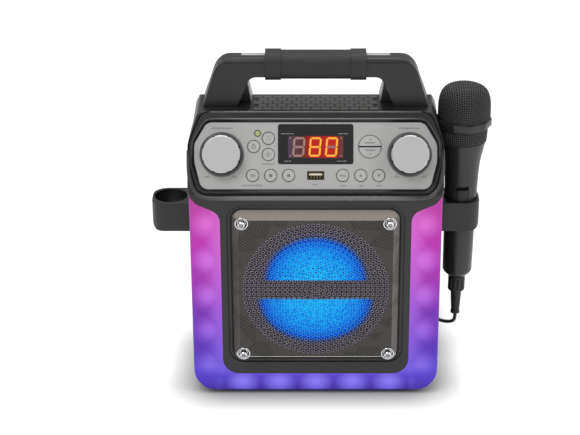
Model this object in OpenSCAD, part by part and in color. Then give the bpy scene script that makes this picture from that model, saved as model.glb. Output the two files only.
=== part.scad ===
// Portable karaoke speaker with a console of knobs and buttons, a square speaker cover,
// a glowing U-shaped light frame, a carrying handle and a corded microphone in a side ring.
// Origin: centre of the base on the floor. +X right, +Y back, +Z up. Millimetres.

/* [Body] */
// Width of the body over its side walls
body_w = 228; // [222:1:240]
// Width of the body behind the light frame
rear_w = 219.6; // [216:0.1:220]
// Depth of the body from the front face to the rear wall
body_d = 124; // [116:1:150]
// Height of the top deck above the floor
deck_z = 272; // [268:1:282]
// Height at which the front face turns back into the console slope
console_z = 205; // [202:1:208]
// Lean of the console face from the vertical, in degrees
console_lean = 25; // [22:1:28]
// Height at which the side walls start to lean in
shoulder_z = 246; // [240:1:252]
// Width of the body at the level of the deck
deck_w = 210; // [206:1:214]
// Radius of the lower corners seen from the front
corner_r = 24; // [16:1:30]
// Thickness of the housing walls
wall = 2.5; // [2:0.1:3.2]
// Depth from the front face to the seam between the two housings
seam_depth = 42; // [38:1:46]
// Height of the rubber feet
foot_h = 3; // [2:0.5:5]
// Radius of a rubber foot
foot_r = 9; // [6:0.5:12]
// Height at which the rear wall starts to slope forward
rear_slope_z = 230; // [222:1:240]
// Clearance between parts that are clipped or laid into each other
fit = 0.2; // [0.1:0.05:0.4]

/* [Light frame] */
// Height of the outer ends of the light frame
light_top_z = 204.5; // [198:0.5:206]
// Width of the opening between the two upright strips
window_w = 172; // [168:1:176]
// Height of the upper edge of the bottom strip
window_z = 22.5; // [20:0.5:25]
// Depth of the light frame from the front face to its tray
light_depth = 18; // [14:0.5:22]
// Thickness of the milky skin
light_skin = 2.2; // [1.6:0.1:2.8]
// Distance by which the skin stands back from the housing outline
light_back = 0.8; // [0.4:0.1:1.4]
// Number of light chips in each upright strip
side_chips = 5; // [3:1:6]
// Distance between light chips
chip_pitch = 36; // [32:1:38]

/* [Speaker] */
// Width and height of the square speaker cover
cover_w = 150.4; // [146:0.2:154]
// Height of the centre of the speaker
speaker_z = 114.7; // [112:0.1:118]
// Rise of the cover face above its seat
cover_rise = 12; // [10:0.5:14]
// Width of the sloped band round the cover face
cover_slope = 5.5; // [4:0.5:7]
// Thickness of the cover
cover_t = 2.2; // [1.8:0.1:2.8]
// Depth of the seat of the cover behind the front face
seat_depth = 3.5; // [2.5:0.5:4.5]
// Number of rings of holes
hole_rings = 15; // [6:1:15]
// Distance between rings of holes
ring_pitch = 4.31; // [4.1:0.01:4.4]
// Diameter of a hole
hole_d = 2.3; // [1.6:0.1:2.6]
// Distance of the cover screws in from the edges of the cover
cover_screw_at = 9; // [8.2:0.1:10]
// Radius of the opening in the front behind the cover
speaker_open_r = 53; // [50:0.5:55]
// Outer radius of the woofer flange
woofer_r = 60; // [58:0.5:62]
// Radius of the moving cone
cone_r = 43.7; // [42:0.1:45]
// Height of the bar that carries the lights in front of the cone
bar_h = 19.4; // [16:0.2:22]

/* [Console] */
// Distance of the knobs from the centre
knob_x = 83.4; // [82:0.1:85]
// Distance of the knobs up the slope
knob_s = 36.3; // [35:0.1:38]
// Radius of the knob flange
knob_flange_r = 19.3; // [18:0.1:19.4]
// Radius of the top of a knob
knob_r = 16.8; // [15:0.1:17.4]
// Height of a knob above the panel
knob_h = 14; // [10:0.5:18]
// Radius of the shafts that carry the knobs
shaft_r = 3; // [2.5:0.1:3.2]
// Radius of a round button
button_r = 5.2; // [4.6:0.1:5.5]
// Gap round a button
button_gap = 0.7; // [0.4:0.1:0.8]
// Height of a button above the panel
button_rise = 0.9; // [0.5:0.1:1.6]
// Travel of a button
button_travel = 0.8; // [0.5:0.1:0.9]
// Distance of the lower row of buttons up the slope
row_s = 17.6; // [16.5:0.1:18.5]
// Radius of the split button
split_r = 9.8; // [9:0.1:10.2]
// Width of the display window
window_glass_w = 66.6; // [64:0.1:68]
// Height of the display window
window_glass_h = 35.3; // [34:0.1:35.6]
// Thickness of the silver panel
panel_t = 2.4; // [2:0.1:2.8]
// Rise of the black bezel above the silver panel
bezel_rise = 2.4; // [1.5:0.1:3]

/* [Handle] */
// Height of the centre line of the handle bar
handle_z = 308; // [304:1:314]
// Height of the handle bar
bar_tall = 17; // [15:0.5:19]
// Depth of the handle bar
bar_deep = 20; // [18:0.5:22]
// Length of the rubber grip
grip_len = 90; // [70:1:96]
// Height of the rubber grip
grip_tall = 23; // [21:0.5:25]
// Depth of the rubber grip
grip_deep = 26; // [24:0.5:28]

/* [Microphone and holders] */
// Distance of the middle of the holder rings out from the side walls
holder_x = 24.4; // [24.2:0.1:26]
// Position of the holder rings from front to back
holder_y = 5; // [0:0.5:8]
// Height of the top edge of the holder rings
holder_top_z = 174; // [168:1:178]
// Height of a holder ring
holder_h = 28.5; // [24:0.5:32]
// Radius of the round opening in a holder ring
holder_bore_r = 15.2; // [15.2:0.1:16]
// Thickness of the holder walls
holder_wall = 2; // [1.6:0.1:2.4]
// Lean of the microphone in its ring, in degrees
mic_lean = 0.5; // [0:0.1:1]
// Travel of the switch on the microphone
switch_travel = 4; // [3:0.1:4.2]

/* [Rear sockets] */
// Height of the row of sockets
socket_z = 60; // [56:1:66]
// Radius of the bore of the large jack sockets
jack_bore_r = 3.2; // [3.2:0.01:3.3]
// Radius of the bore of the small jack socket
aux_bore_r = 1.8; // [1.78:0.01:1.85]

/* [Hidden] */
$fn = 48;

black = [0.2, 0.2, 0.2];
dark = [0.12, 0.12, 0.12];
silver = [0.72, 0.72, 0.71];
milky = [0.62, 0.3, 0.8];
smoke = [0.3, 0.3, 0.3];
board_green = [0.1, 0.35, 0.2];
steel = [0.75, 0.75, 0.76];
rubber = [0.1, 0.1, 0.1];

front_y = -body_d / 2;
rear_y = body_d / 2;
seam_y = front_y + seam_depth;
console_len = (deck_z - console_z) / cos(console_lean);
console_top_y = front_y + (deck_z - console_z) * tan(console_lean);
deck_back_y = front_y + 76;
tray_y = front_y + light_depth;
seat_y = front_y + seat_depth;
baffle_t = 7.5;
baffle_back_y = front_y + baffle_t;
pocket_depth = 3;
bezel_gap = 1;
groove_gap = 3.4;
cover_screw_c = cover_w / 2 - cover_screw_at;
ring_x = rear_w / 2 + holder_x;

// Unit vector along v
function unit(v) = v / norm(v);
// Points of an arc of radius r that rounds corner p between neighbours a and b
function corner(a, p, b, r, n) =
    let(u = unit(a - p), v = unit(b - p), half = acos(max(-1, min(1, u * v))) / 2,
        c = p + unit(u + v) * r / sin(half),
        s = p + u * r / tan(half) - c, e = p + v * r / tan(half) - c,
        from = atan2(s.y, s.x), raw = atan2(e.y, e.x) - from,
        sweep = raw > 180 ? raw - 360 : raw < -180 ? raw + 360 : raw)
    r < 0.05 ? [p] : [for (k = [0:n]) c + r * [cos(from + sweep * k / n), sin(from + sweep * k / n)]];
// Outline with its corners rounded; each corner is [x, y, radius]
function outline(pts, n = 6) =
    let(m = len(pts), p = [for (q = pts) [q.x, q.y]])
    [for (i = [0:m - 1]) each corner(p[(i + m - 1) % m], p[i], p[(i + 1) % m], pts[i][2], n)];
// Same outline with edge k moved outwards by d[k], or all by d; corners run anticlockwise
function moved(pts, d) =
    let(m = len(pts), p = [for (q = pts) [q.x, q.y]],
        t = [for (i = [0:m - 1]) unit(p[(i + 1) % m] - p[i])])
    [for (i = [0:m - 1])
        let(a = t[(i + m - 1) % m], b = t[i], da = is_list(d) ? d[(i + m - 1) % m] : d,
            db = is_list(d) ? d[i] : d, na = [a.y, -a.x], nb = [b.y, -b.x],
            det = na.x * nb.y - na.y * nb.x, turn = sign(a.x * b.y - a.y * b.x))
        [p[i].x + (da * nb.y - db * na.y) / det, p[i].y + (na.x * db - nb.x * da) / det,
            max(0.3, pts[i][2] + turn * min(da, db))]];
// Right half of an outline, bottom to top, with its mirror image
function both_sides(half) =
    concat(half, [for (i = [len(half) - 1:-1:0]) [-half[i].x, half[i].y, half[i][2]]]);
function rectangle(w, h, r) = both_sides([[w / 2, -h / 2, r], [w / 2, h / 2, r]]);

// Outlines: x against z, y against z and x against y
front_outline = both_sides([[body_w / 2, foot_h, corner_r], [body_w / 2, shoulder_z, 12],
    [deck_w / 2, deck_z, 5]]);
side_outline = [[front_y, foot_h, 4], [rear_y, foot_h, 8], [rear_y, rear_slope_z, 14],
    [deck_back_y, deck_z, 10], [console_top_y, deck_z, 2], [front_y, console_z, 1.5]];
side_inner = moved(side_outline, [-wall, -wall, -wall, -wall,
    -(pocket_depth + wall), -wall]);
waist_y = front_y + 48;
plan_outline = [[-body_w / 2, front_y, 4], [body_w / 2, front_y, 4],
    [body_w / 2, tray_y, 20], [rear_w / 2, waist_y, 20], [rear_w / 2, rear_y, 16],
    [-rear_w / 2, rear_y, 16], [-rear_w / 2, waist_y, 20], [-body_w / 2, tray_y, 20]];
light_outline = both_sides([[body_w / 2, foot_h, corner_r], [body_w / 2, light_top_z, 0.3],
    [body_w / 2 - 7, light_top_z - 8.7, 7], [window_w / 2, light_top_z - 18.3, 12],
    [window_w / 2, window_z, 15]]);
spill = 8;
light_pocket = moved(light_outline, [spill, fit, fit, fit, fit, fit, fit, fit, spill, spill]);
// Console outlines: x against distance up the slope
panel_half_w = body_w / 2 - 6.1;
panel_outline = both_sides([[panel_half_w - 6.3, 5.4, 8], [panel_half_w, 30, 30],
    [panel_half_w, 45.5, 12], [panel_half_w - 11.4, console_len - 9.2, 8]]);
bezel_outline = both_sides([[panel_half_w - 2.9, 1.7, 10], [panel_half_w + 4, 29, 32],
    [panel_half_w + 4, 47.5, 14], [panel_half_w - 6.9, console_len - 0.4, 10]]);
bezel_pocket = moved(bezel_outline, [bezel_gap, bezel_gap, bezel_gap, bezel_gap,
    bezel_gap, bezel_gap, bezel_gap, groove_gap]);

module on_console() {
    translate([0, front_y, console_z]) rotate([90 - console_lean, 0, 0]) children();
}
// Extrusions along Y and X of outlines drawn in the plane across them
module along_y(y0, y1) { translate([0, y1, 0]) rotate([90, 0, 0]) linear_extrude(y1 - y0) children(); }
module along_x(x0, x1) { translate([x0, 0, 0]) rotate([90, 0, 90]) linear_extrude(x1 - x0) children(); }
module plate_n(n0, n1) { translate([0, 0, n0]) linear_extrude(n1 - n0) children(); }
module rod_y(r, y0, y1, x, z) { translate([x, y0, z]) rotate([-90, 0, 0]) cylinder(r = r, h = y1 - y0); }
module turned_y(x, y, z) { translate([x, y, z]) rotate([-90, 0, 0]) rotate_extrude() children(); }
module slab_y(y0, y1) { translate([-300, y0, -10]) cube([600, y1 - y0, 500]); }
module box(x0, x1, y0, y1, z0, z1) { translate([x0, y0, z0]) cube([x1 - x0, y1 - y0, z1 - z0]); }

// Outer shape of the two housings, moved in by d
module body_shape(d) {
    intersection() {
        along_y(2 * front_y, 2 * rear_y) polygon(outline(moved(front_outline, -d), 8));
        along_x(-body_w, body_w) polygon(outline(moved(side_outline, -d)));
        linear_extrude(2 * deck_z) polygon(outline(moved(plan_outline, -d)));
    }
}
// Space inside the housings
module body_space() {
    intersection() {
        along_y(2 * front_y, 2 * rear_y) polygon(outline(moved(front_outline, -wall), 8));
        along_x(-body_w, body_w) polygon(outline(side_inner));
        linear_extrude(2 * deck_z) polygon(outline(moved(plan_outline, -wall)));
    }
}

// Screw places
case_boss_at = [[rear_w / 2 - 9.8, 24], [rear_w / 2 - 7.8, 226]];
boss_r = 4.5;
screw_r = 1.45;
pilot_r = 1.5;
screw_head_r = 3.1;
rear_bore_depth = 30;
rear_head_y = rear_y - rear_bore_depth;

// The front housing: side walls, console frame, tray for the lights and speaker baffle
console_opening = [[-97, 9, 3], [97, 9, 3], [97, console_len - 12.5, 3], [-97, console_len - 12.5, 3]];
module front_housing() color(black) difference() {
    union() {
        difference() {
            intersection() {
                body_shape(0);
                slab_y(front_y - 1, seam_y);
            }
            intersection() {
                body_space();
                slab_y(tray_y + wall, seam_y + 1);
            }
            box(-window_w / 2 + wall + fit, window_w / 2 - wall - fit, baffle_back_y, tray_y + wall + 1,
                window_z + wall + fit, console_z - 6);
            intersection() {
                body_space();
                box(-104, 104, front_y, tray_y + wall + 1, console_z - 7, deck_z);
            }
        }
        for (x = [-1, 1], b = case_boss_at) rod_y(boss_r, tray_y + 0.5, seam_y, x * b[0], b[1]);
        for (x = [-1, 1], z = [-1, 1])
            rod_y(3.4, baffle_back_y - 1, baffle_back_y + 7, x * cover_screw_c, speaker_z + z * cover_screw_c);
    }
    along_y(front_y - spill, tray_y) polygon(outline(light_pocket));
    on_console() plate_n(-pocket_depth, 30) polygon(outline(bezel_pocket));
    on_console() plate_n(-20, 1) polygon(outline(console_opening));
    along_y(front_y - spill, front_y + 1.2) cover_square(cover_w + 9);
    along_y(front_y - spill, seat_y) cover_square(cover_w + 2.4);
    rod_y(speaker_open_r, front_y - spill, baffle_back_y + 1, 0, speaker_z);
    for (x = [-1, 1], b = case_boss_at) rod_y(pilot_r, seam_y - 16, seam_y + 1, x * b[0], b[1]);
    for (x = [-1, 1], z = [-1, 1])
        rod_y(pilot_r, seat_y - 1, baffle_back_y + 6, x * cover_screw_c, speaker_z + z * cover_screw_c);
    for (a = [45:90:315]) rod_y(pilot_r, seat_y + 0.5, baffle_back_y + 1,
        woofer_screw_r * cos(a), speaker_z + woofer_screw_r * sin(a));
}

// The rear housing with its recessed row of sockets
port_half_w = 74;
port_half_h = 17;
port_depth = 3;
port_y = rear_y - port_depth;
port_back_y = port_y - wall;
mic_jack_x = 52;
spare_jack_x = 28;
aux_x = 8;
hdmi_x = -18;
power_x = -50;
jack_nose_r = 5.4;
aux_nose_r = 3.2;
hdmi_w = 15.2;
hdmi_h = 6.2;
power_hole_r = 4.2;
board_y = port_back_y - 14.5;
board_t = 1.6;
post_at = [[62, 14], [62, -14]];
module rear_housing() color(black) difference() {
    union() {
        difference() {
            intersection() {
                body_shape(0);
                slab_y(seam_y, rear_y + 1);
            }
            intersection() {
                body_space();
                slab_y(seam_y - 1, rear_y + 1);
            }
        }
        box(-port_half_w - wall, port_half_w + wall, port_back_y, rear_y - 1,
            socket_z - port_half_h - wall, socket_z + port_half_h + wall);
        for (x = [-1, 1], b = case_boss_at) intersection() {
            body_shape(0);
            rod_y(boss_r, seam_y, rear_y, x * b[0], b[1]);
        }
        for (x = [-1, 1], p = post_at) rod_y(3, board_y + board_t, port_back_y + 1, x * p[0], socket_z + p[1]);
    }
    along_y(port_y, rear_y + 1) translate([0, socket_z])
        polygon(outline(rectangle(2 * port_half_w, 2 * port_half_h, 4)));
    for (x = [mic_jack_x, spare_jack_x]) rod_y(jack_nose_r + fit, port_back_y - 1, rear_y + 1, x, socket_z);
    rod_y(aux_nose_r + fit, port_back_y - 1, rear_y + 1, aux_x, socket_z);
    rod_y(power_hole_r + fit, port_back_y - 1, rear_y + 1, power_x, socket_z);
    box(hdmi_x - hdmi_w / 2 - fit, hdmi_x + hdmi_w / 2 + fit, port_back_y - 1, rear_y + 1,
        socket_z - hdmi_h / 2 - fit, socket_z + hdmi_h / 2 + fit);
    for (x = [-1, 1], b = case_boss_at) {
        rod_y(pilot_r + 0.1, seam_y - 1, rear_y + 1, x * b[0], b[1]);
        rod_y(screw_head_r + 0.3, rear_head_y, rear_y + 1, x * b[0], b[1]);
    }
    for (x = [-1, 1]) rod_z(pilot_r, 200, deck_z + 1, x * handle_screw_x, handle_y);
    for (x = [-1, 1], z = holder_screw_z)
        translate([x * (rear_w / 2 - wall - 5), holder_y, z]) rotate([0, x * 90, 0]) cylinder(r = pilot_r + 0.1, h = wall + 6);
}
module rod_z(r, z0, z1, x, y) { translate([x, y, z0]) cylinder(r = r, h = z1 - z0); }

// The milky light frame: a U-shaped tray with open back
module light_frame() color(milky) difference() {
    intersection() {
        body_shape(light_back);
        along_y(front_y - 1, tray_y) polygon(outline(light_outline));
    }
    along_y(front_y + light_back + light_skin, tray_y + 1)
        polygon(outline(moved(light_outline, -light_back - light_skin)));
}
// The strip of light chips behind it
chip = 5;
strip_t = 1.2;
strip_inset = 5.5;
side_chip_x = (body_w + window_w) / 4;
bottom_chip_z = (foot_h + window_z) / 2;
strip_outline = both_sides([[body_w / 2 - strip_inset, foot_h + strip_inset, corner_r - strip_inset],
    [body_w / 2 - strip_inset, light_top_z - 20.5, 1], [window_w / 2 + strip_inset, light_top_z - 20.5, 1],
    [window_w / 2 + strip_inset, window_z - strip_inset, 15]]);
module light_strip() color(board_green) {
    along_y(tray_y - strip_t, tray_y) polygon(outline(strip_outline));
    for (x = [-1, 1], k = [0:side_chips - 1])
        chip_at(x * side_chip_x, light_top_z - 28.5 - k * chip_pitch);
    for (k = [-2:2]) chip_at(k * chip_pitch, bottom_chip_z);
}
module chip_at(x, z) {
    box(x - chip / 2, x + chip / 2, tray_y - strip_t - 1.4, tray_y - strip_t + 0.2, z - chip / 2, z + chip / 2);
}

// The speaker cover: a rounded square dome with rings of holes
module cover_square(w) { translate([0, speaker_z]) polygon(outline(rectangle(w, w, 9 + (w - cover_w) / 2))); }
module cover_dome(d, back) {
    w = cover_w / 2 - d;
    f = w - cover_slope;
    y0 = seat_y - cover_rise + d;
    intersection() {
        along_y(y0 - 1, seat_y + back) cover_square(cover_w - 2 * d);
        along_x(-cover_w, cover_w) translate([0, speaker_z])
            polygon([[seat_y + back, -w], [seat_y + back, w], [seat_y - 2, w], [y0, f], [y0, -f], [seat_y - 2, -w]]);
        linear_extrude(2 * deck_z)
            polygon([[-w, seat_y + back], [w, seat_y + back], [w, seat_y - 2], [f, y0], [-f, y0], [-w, seat_y - 2]]);
    }
}
face_y = seat_y - cover_rise;
dish_r = 6;
dish_depth = 2.4;
module speaker_cover() color(smoke) difference() {
    union() {
        difference() {
            cover_dome(0, 0);
            cover_dome(cover_t, 1);
        }
        intersection() {
            cover_dome(0, 0);
            for (x = [-1, 1], z = [-1, 1])
                rod_y(dish_r + 1.4, face_y, seat_y, x * cover_screw_c, speaker_z + z * cover_screw_c);
        }
    }
    for (x = [-1, 1], z = [-1, 1]) {
        rod_y(dish_r, face_y - 1, face_y + dish_depth, x * cover_screw_c, speaker_z + z * cover_screw_c);
        rod_y(screw_r + 0.15, face_y, seat_y + 1, x * cover_screw_c, speaker_z + z * cover_screw_c);
    }
    rod_y(hole_d / 2, face_y - 1, face_y + cover_t + 1, 0, speaker_z);
    for (n = [1:hole_rings], k = [0:6 * n - 1])
        rod_y(hole_d / 2, face_y - 1, face_y + cover_t + 1,
            n * ring_pitch * cos(60 * k / n), speaker_z + n * ring_pitch * sin(60 * k / n));
}
// Screws with tall round heads that stand in dishes at the corners of the cover
cover_head_h = 6.2;
module cover_screws() color(steel) for (x = [-1, 1], z = [-1, 1]) difference() {
    translate([x * cover_screw_c, face_y + dish_depth - 0.02, speaker_z + z * cover_screw_c])
        rotate([90, 0, 0]) union() {
            rotate_extrude() polygon([[0, 0], [3.9, 0], [3.9, 1], [3.3, 1.2], [3.3, cover_head_h - 0.6],
                [2.7, cover_head_h], [0, cover_head_h]]);
            translate([0, 0, -13]) cylinder(r = screw_r, h = 13.5);
        }
    rod_y(1.3, face_y + dish_depth - cover_head_h - 1, face_y + dish_depth - cover_head_h + 2,
        x * cover_screw_c, speaker_z + z * cover_screw_c);
}
// The bar of lights across the cone, on two legs that stand on the baffle
bar_front_y = face_y + cover_t + 0.4;
bar_t = 3;
bar_half = cover_w / 2 - 12.2;
leg_w = 7;
module light_bar() color(dark) union() {
    box(-bar_half, bar_half, bar_front_y, bar_front_y + bar_t, speaker_z - bar_h / 2, speaker_z + bar_h / 2);
    for (x = [-1, 1]) box(x * (bar_half - leg_w / 2) - leg_w / 2, x * (bar_half - leg_w / 2) + leg_w / 2,
        bar_front_y + 1, seat_y, speaker_z - bar_h / 2, speaker_z + bar_h / 2);
    for (x = [-40:16:40], z = [-1, 1]) box(x - 2.5, x + 2.5, bar_front_y + bar_t - 0.2, bar_front_y + bar_t + 1.2,
        speaker_z + z * 5.5 - 2.5, speaker_z + z * 5.5 + 2.5);
}

// The woofer, turned round an axis along Y; profile points are [radius, depth behind the baffle]
woofer_screw_r = woofer_r - 3.2;
basket_depth = 32;
flange_t = 2;
module woofer_basket() color(dark) difference() {
    turned_y(0, baffle_back_y, speaker_z) polygon([[speaker_open_r - 1.4, 0], [woofer_r, 0], [woofer_r, flange_t],
        [speaker_open_r + 1, flange_t], [34, basket_depth], [15, basket_depth], [15, basket_depth - 2],
        [32.6, basket_depth - 2], [speaker_open_r - 1.4, flange_t]]);
    for (a = [0:60:300]) translate([0, baffle_back_y + 9, speaker_z]) rotate([-90, 0, 0]) rotate([0, 0, a])
        translate([30, -9, 0]) cube([30, 18, basket_depth - 14]);
    for (a = [45:90:315]) rod_y(screw_r + 0.15, baffle_back_y - 1, baffle_back_y + flange_t + 1,
        woofer_screw_r * cos(a), speaker_z + woofer_screw_r * sin(a));
}
surround_t = 0.8;
module woofer_surround() color(rubber) turned_y(0, baffle_back_y, speaker_z) difference() {
    union() {
        translate([surround_mid, 0]) circle(r = surround_roll);
        translate([cone_r + 0.3, -surround_t]) square([speaker_open_r - 0.3 - cone_r - 0.3, surround_t]);
    }
    translate([surround_mid, 0]) circle(r = surround_roll - surround_t);
    translate([0, 0]) square([woofer_r, 10]);
}
surround_roll = 3.6;
surround_mid = cone_r + 0.3 + 1 + surround_roll;
voice_r = 12.9;
module woofer_cone() color(dark) turned_y(0, baffle_back_y, speaker_z) polygon([[cone_r, -1], [cone_r, 0],
    [cone_r - 1.2, 0.4], [voice_r + 0.3, 20], [voice_r + 0.3, 33], [voice_r - 0.3, 33],
    [voice_r - 0.3, 19.2], [cone_r - 1.6, -1]]);
cap_r = 24;
cap_rim_r = 16;
cap_rim = 16.5;
cap_centre = cap_rim + sqrt(cap_r * cap_r - cap_rim_r * cap_rim_r);
module dust_cap() color(dark) turned_y(0, baffle_back_y, speaker_z) intersection() {
    difference() {
        translate([0, cap_centre]) circle(r = cap_r, $fn = 96);
        translate([0, cap_centre]) circle(r = cap_r - 0.8, $fn = 96);
    }
    square([cap_rim_r, cap_rim]);
}
magnet_r = 32;
module woofer_magnet() color(steel) turned_y(0, baffle_back_y + basket_depth, speaker_z)
    polygon([[voice_r + 0.9, 0], [magnet_r, 0], [magnet_r, 15], [0, 15], [0, -3],
        [voice_r - 0.9, -3], [voice_r - 0.9, 12], [voice_r + 0.9, 12]]);

// The console: silver panel, black bezel, display, knobs, buttons and what is behind them
glass_s = 45.45;
module_w = 49.2;
module_h = 19.3;
module_s = 42.95;
usb_w = 15.2;
usb_h = 7.7;
lamp_at = [-51.6, 55.1];
lamp_r = 2.3;
round_at = [["power", -55, 43.3], ["pairing", -42, 50.6], ["lights", -42, 36.2], ["voice", -56, row_s],
    ["record", -40, row_s], ["stop", -24, row_s], ["play", 24, row_s], ["up", 40, row_s], ["down", 56, row_s]];
split_at = [48.2, 43.2];
split_gap = 1.3;
board_n = -10.4;
pcb_t = 1.6;
console_post_at = [[92, 14], [30, 58], [-30, 58], [-92, 14]];
module at_console(x, s) { translate([x, s, 0]) children(); }
module console_panel() color(silver) on_console() difference() {
    union() {
        plate_n(-panel_t, 0) polygon(outline(panel_outline));
        for (p = console_post_at) at_console(p[0], p[1]) translate([0, 0, board_n]) cylinder(r = 2.6, h = -panel_t - board_n + 0.5);
    }
    for (x = [-knob_x, knob_x]) at_console(x, knob_s) {
        plate_n(-1.2, 1) circle(r = knob_flange_r + 0.5);
        plate_n(-5, 1) circle(r = 5);
    }
    for (b = round_at) at_console(b[1], b[2]) plate_n(-5, 1) circle(r = button_r + button_gap);
    at_console(split_at[0], split_at[1]) plate_n(-5, 1) circle(r = split_r + 0.6);
    at_console(lamp_at[0], lamp_at[1]) plate_n(-5, 1) circle(r = lamp_r + 0.1);
    at_console(0, glass_s) plate_n(-1.2, 1) polygon(outline(rectangle(window_glass_w + 2 * fit, window_glass_h + 2 * fit, 2.2)));
    at_console(0, module_s) plate_n(-5, 1) square([module_w + 0.8, module_h + 0.8], center = true);
    at_console(0, row_s) plate_n(-5, 1) square([usb_w, usb_h], center = true);
}
// A ring that lies in the pocket round the panel, with a sloped inner edge
bezel_step = 0.6;
module console_bezel() color(black) on_console() difference() {
    plate_n(-pocket_depth, bezel_rise) polygon(outline(bezel_outline));
    plate_n(-pocket_depth - 1, 0.01) polygon(outline(moved(panel_outline, fit)));
    for (k = [0:3]) plate_n(k * bezel_step, bezel_rise + 1)
        polygon(outline(moved(panel_outline, fit + 0.5 * (k + 1))));
}
module display_window() color(dark) on_console() at_console(0, glass_s)
    plate_n(-1.2, 0.3) polygon(outline(rectangle(window_glass_w, window_glass_h, 2)));
module display_module() color([0.3, 0.1, 0.1]) on_console() at_console(0, module_s)
    plate_n(board_n, -1.3) square([module_w, module_h], center = true);
module indicator_lamp() color([0.7, 0.75, 0.5]) on_console() at_console(lamp_at[0], lamp_at[1]) union() {
    plate_n(board_n, 0.4) circle(r = lamp_r);
    translate([0, 0, 0.4]) intersection() {
        translate([0, 0, -1.6]) sphere(r = 2.5);
        cylinder(r = 1.9, h = 2);
    }
}
shell_w = 13.1;
shell_h = 5.7;
module usb_socket() color(steel) on_console() at_console(0, row_s) union() {
    difference() {
        plate_n(board_n, -0.6) square([shell_w, shell_h], center = true);
        plate_n(board_n + 1, 1) square([shell_w - 0.6, shell_h - 0.6], center = true);
    }
    translate([0, 1.3, 0]) plate_n(board_n + 0.5, -1.4) square([11.1, 1.6], center = true);
}
module control_board() color(board_green) on_console() difference() {
    plate_n(board_n - pcb_t, board_n) polygon(outline([[-96, 9.5, 2], [96, 9.5, 2], [96, console_len - 13, 2],
        [-96, console_len - 13, 2]]));
    for (x = [-knob_x, knob_x]) at_console(x, knob_s) plate_n(board_n - 3, board_n + 1) circle(r = 4.2);
}
switch_top_n = -6.15;
module button_switches() color(dark) on_console() {
    for (b = round_at) at_console(b[1], b[2]) push_switch();
    for (k = [-1, 1]) at_console(split_at[0], split_at[1] + k * 5.2) push_switch();
}
module push_switch() {
    plate_n(board_n, switch_top_n - 0.6) square([6, 6], center = true);
    plate_n(switch_top_n - 0.7, switch_top_n) circle(r = 1.7);
}
pot_r = 8;
module volume_pot(x) color(steel) on_console() at_console(x, knob_s) union() {
    plate_n(board_n - pcb_t - 7, board_n - pcb_t) circle(r = pot_r);
    plate_n(board_n - pcb_t - 0.5, -2.6) circle(r = 3.8);
    plate_n(-3, knob_h - 5) circle(r = shaft_r);
}
module mic_volume_pot() volume_pot(-knob_x);
module master_volume_pot() volume_pot(knob_x);

// A knob: flange, fluted skirt and bright cap, bored for its shaft
knob_floor_n = -0.9;
module volume_knob(x) color(silver) on_console() at_console(x, knob_s) difference() {
    rotate_extrude() polygon([[0, knob_floor_n], [knob_flange_r, knob_floor_n], [knob_flange_r, 0.3],
        [knob_flange_r - 0.6, 0.7], [knob_r + 0.9, 0.7], [knob_r + 0.5, 3], [knob_r, knob_h - 1.2],
        [knob_r - 1.1, knob_h], [0, knob_h]]);
    for (a = [0:45:315]) rotate([0, 0, a + 22.5]) translate([knob_r + 1.5, 0, 1.6]) cylinder(r = 2, h = knob_h);
    plate_n(knob_floor_n - 1, knob_h - 4.5) circle(r = shaft_r + 0.05);
}
module mic_volume_knob() volume_knob(-knob_x);
module master_volume_knob() volume_knob(knob_x);

// A round button: cap, flange that keeps it in and stem that works the switch
flange_n = -panel_t - 0.15;
stem_n = switch_top_n + button_travel + 0.05;
module round_button(i) color(silver) on_console() at_console(round_at[i][1], round_at[i][2]) union() {
    rotate_extrude() polygon([[0, flange_n - 1], [button_r + 1.4, flange_n - 1], [button_r + 1.4, flange_n],
        [button_r, flange_n], [button_r, button_rise - 0.4], [button_r - 0.4, button_rise], [0, button_rise]]);
    plate_n(stem_n, flange_n - 0.5) circle(r = 1.6);
}
module power_button() round_button(0);
module pairing_button() round_button(1);
module lights_button() round_button(2);
module voice_button() round_button(3);
module record_button() round_button(4);
module stop_button() round_button(5);
module play_button() round_button(6);
module up_button() round_button(7);
module down_button() round_button(8);
// One half of the split button
module split_button(k) color(silver) on_console() at_console(split_at[0], split_at[1]) union() {
    intersection() {
        union() {
            plate_n(flange_n - 1, flange_n) circle(r = split_r + 1.2);
            plate_n(flange_n - 0.1, button_rise) circle(r = split_r);
        }
        translate([-20, k > 0 ? split_gap / 2 : -20 - split_gap / 2, -10]) cube([40, 20, 20]);
    }
    translate([0, k * 5.2, 0]) plate_n(stem_n, flange_n - 0.5) circle(r = 1.6);
}
module folder_up_button() split_button(1);
module folder_down_button() split_button(-1);

// The handle: two arched shells one behind the other, and a rubber sleeve
handle_y = -6;
handle_front_y = front_y + 44;
foot_back_y = front_y + 82;
handle_top = handle_z + bar_tall / 2;
handle_low = handle_z - bar_tall / 2;
handle_foot_x = deck_w / 2 - 4.2;
handle_top_x = deck_w / 2 - 18.3;
handle_screw_x = deck_w / 2 - 23;
arm_half_deep = bar_deep / 2;
module arch(foot_in, knee_in) {
    polygon(outline([[foot_in, deck_z - 20, 0], [foot_in, deck_z, 0], [knee_in, handle_low - 8, 6], [knee_in - 2, handle_low, 8],
        [-knee_in + 2, handle_low, 8], [-knee_in, handle_low - 8, 6], [-foot_in, deck_z, 0], [-foot_in, deck_z - 20, 0],
        [-handle_foot_x, deck_z - 20, 0], [-handle_foot_x, deck_z, 0], [-handle_top_x, handle_top, 20],
        [handle_top_x, handle_top, 20], [handle_foot_x, deck_z, 0], [handle_foot_x, deck_z - 20, 0]]));
}
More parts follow.
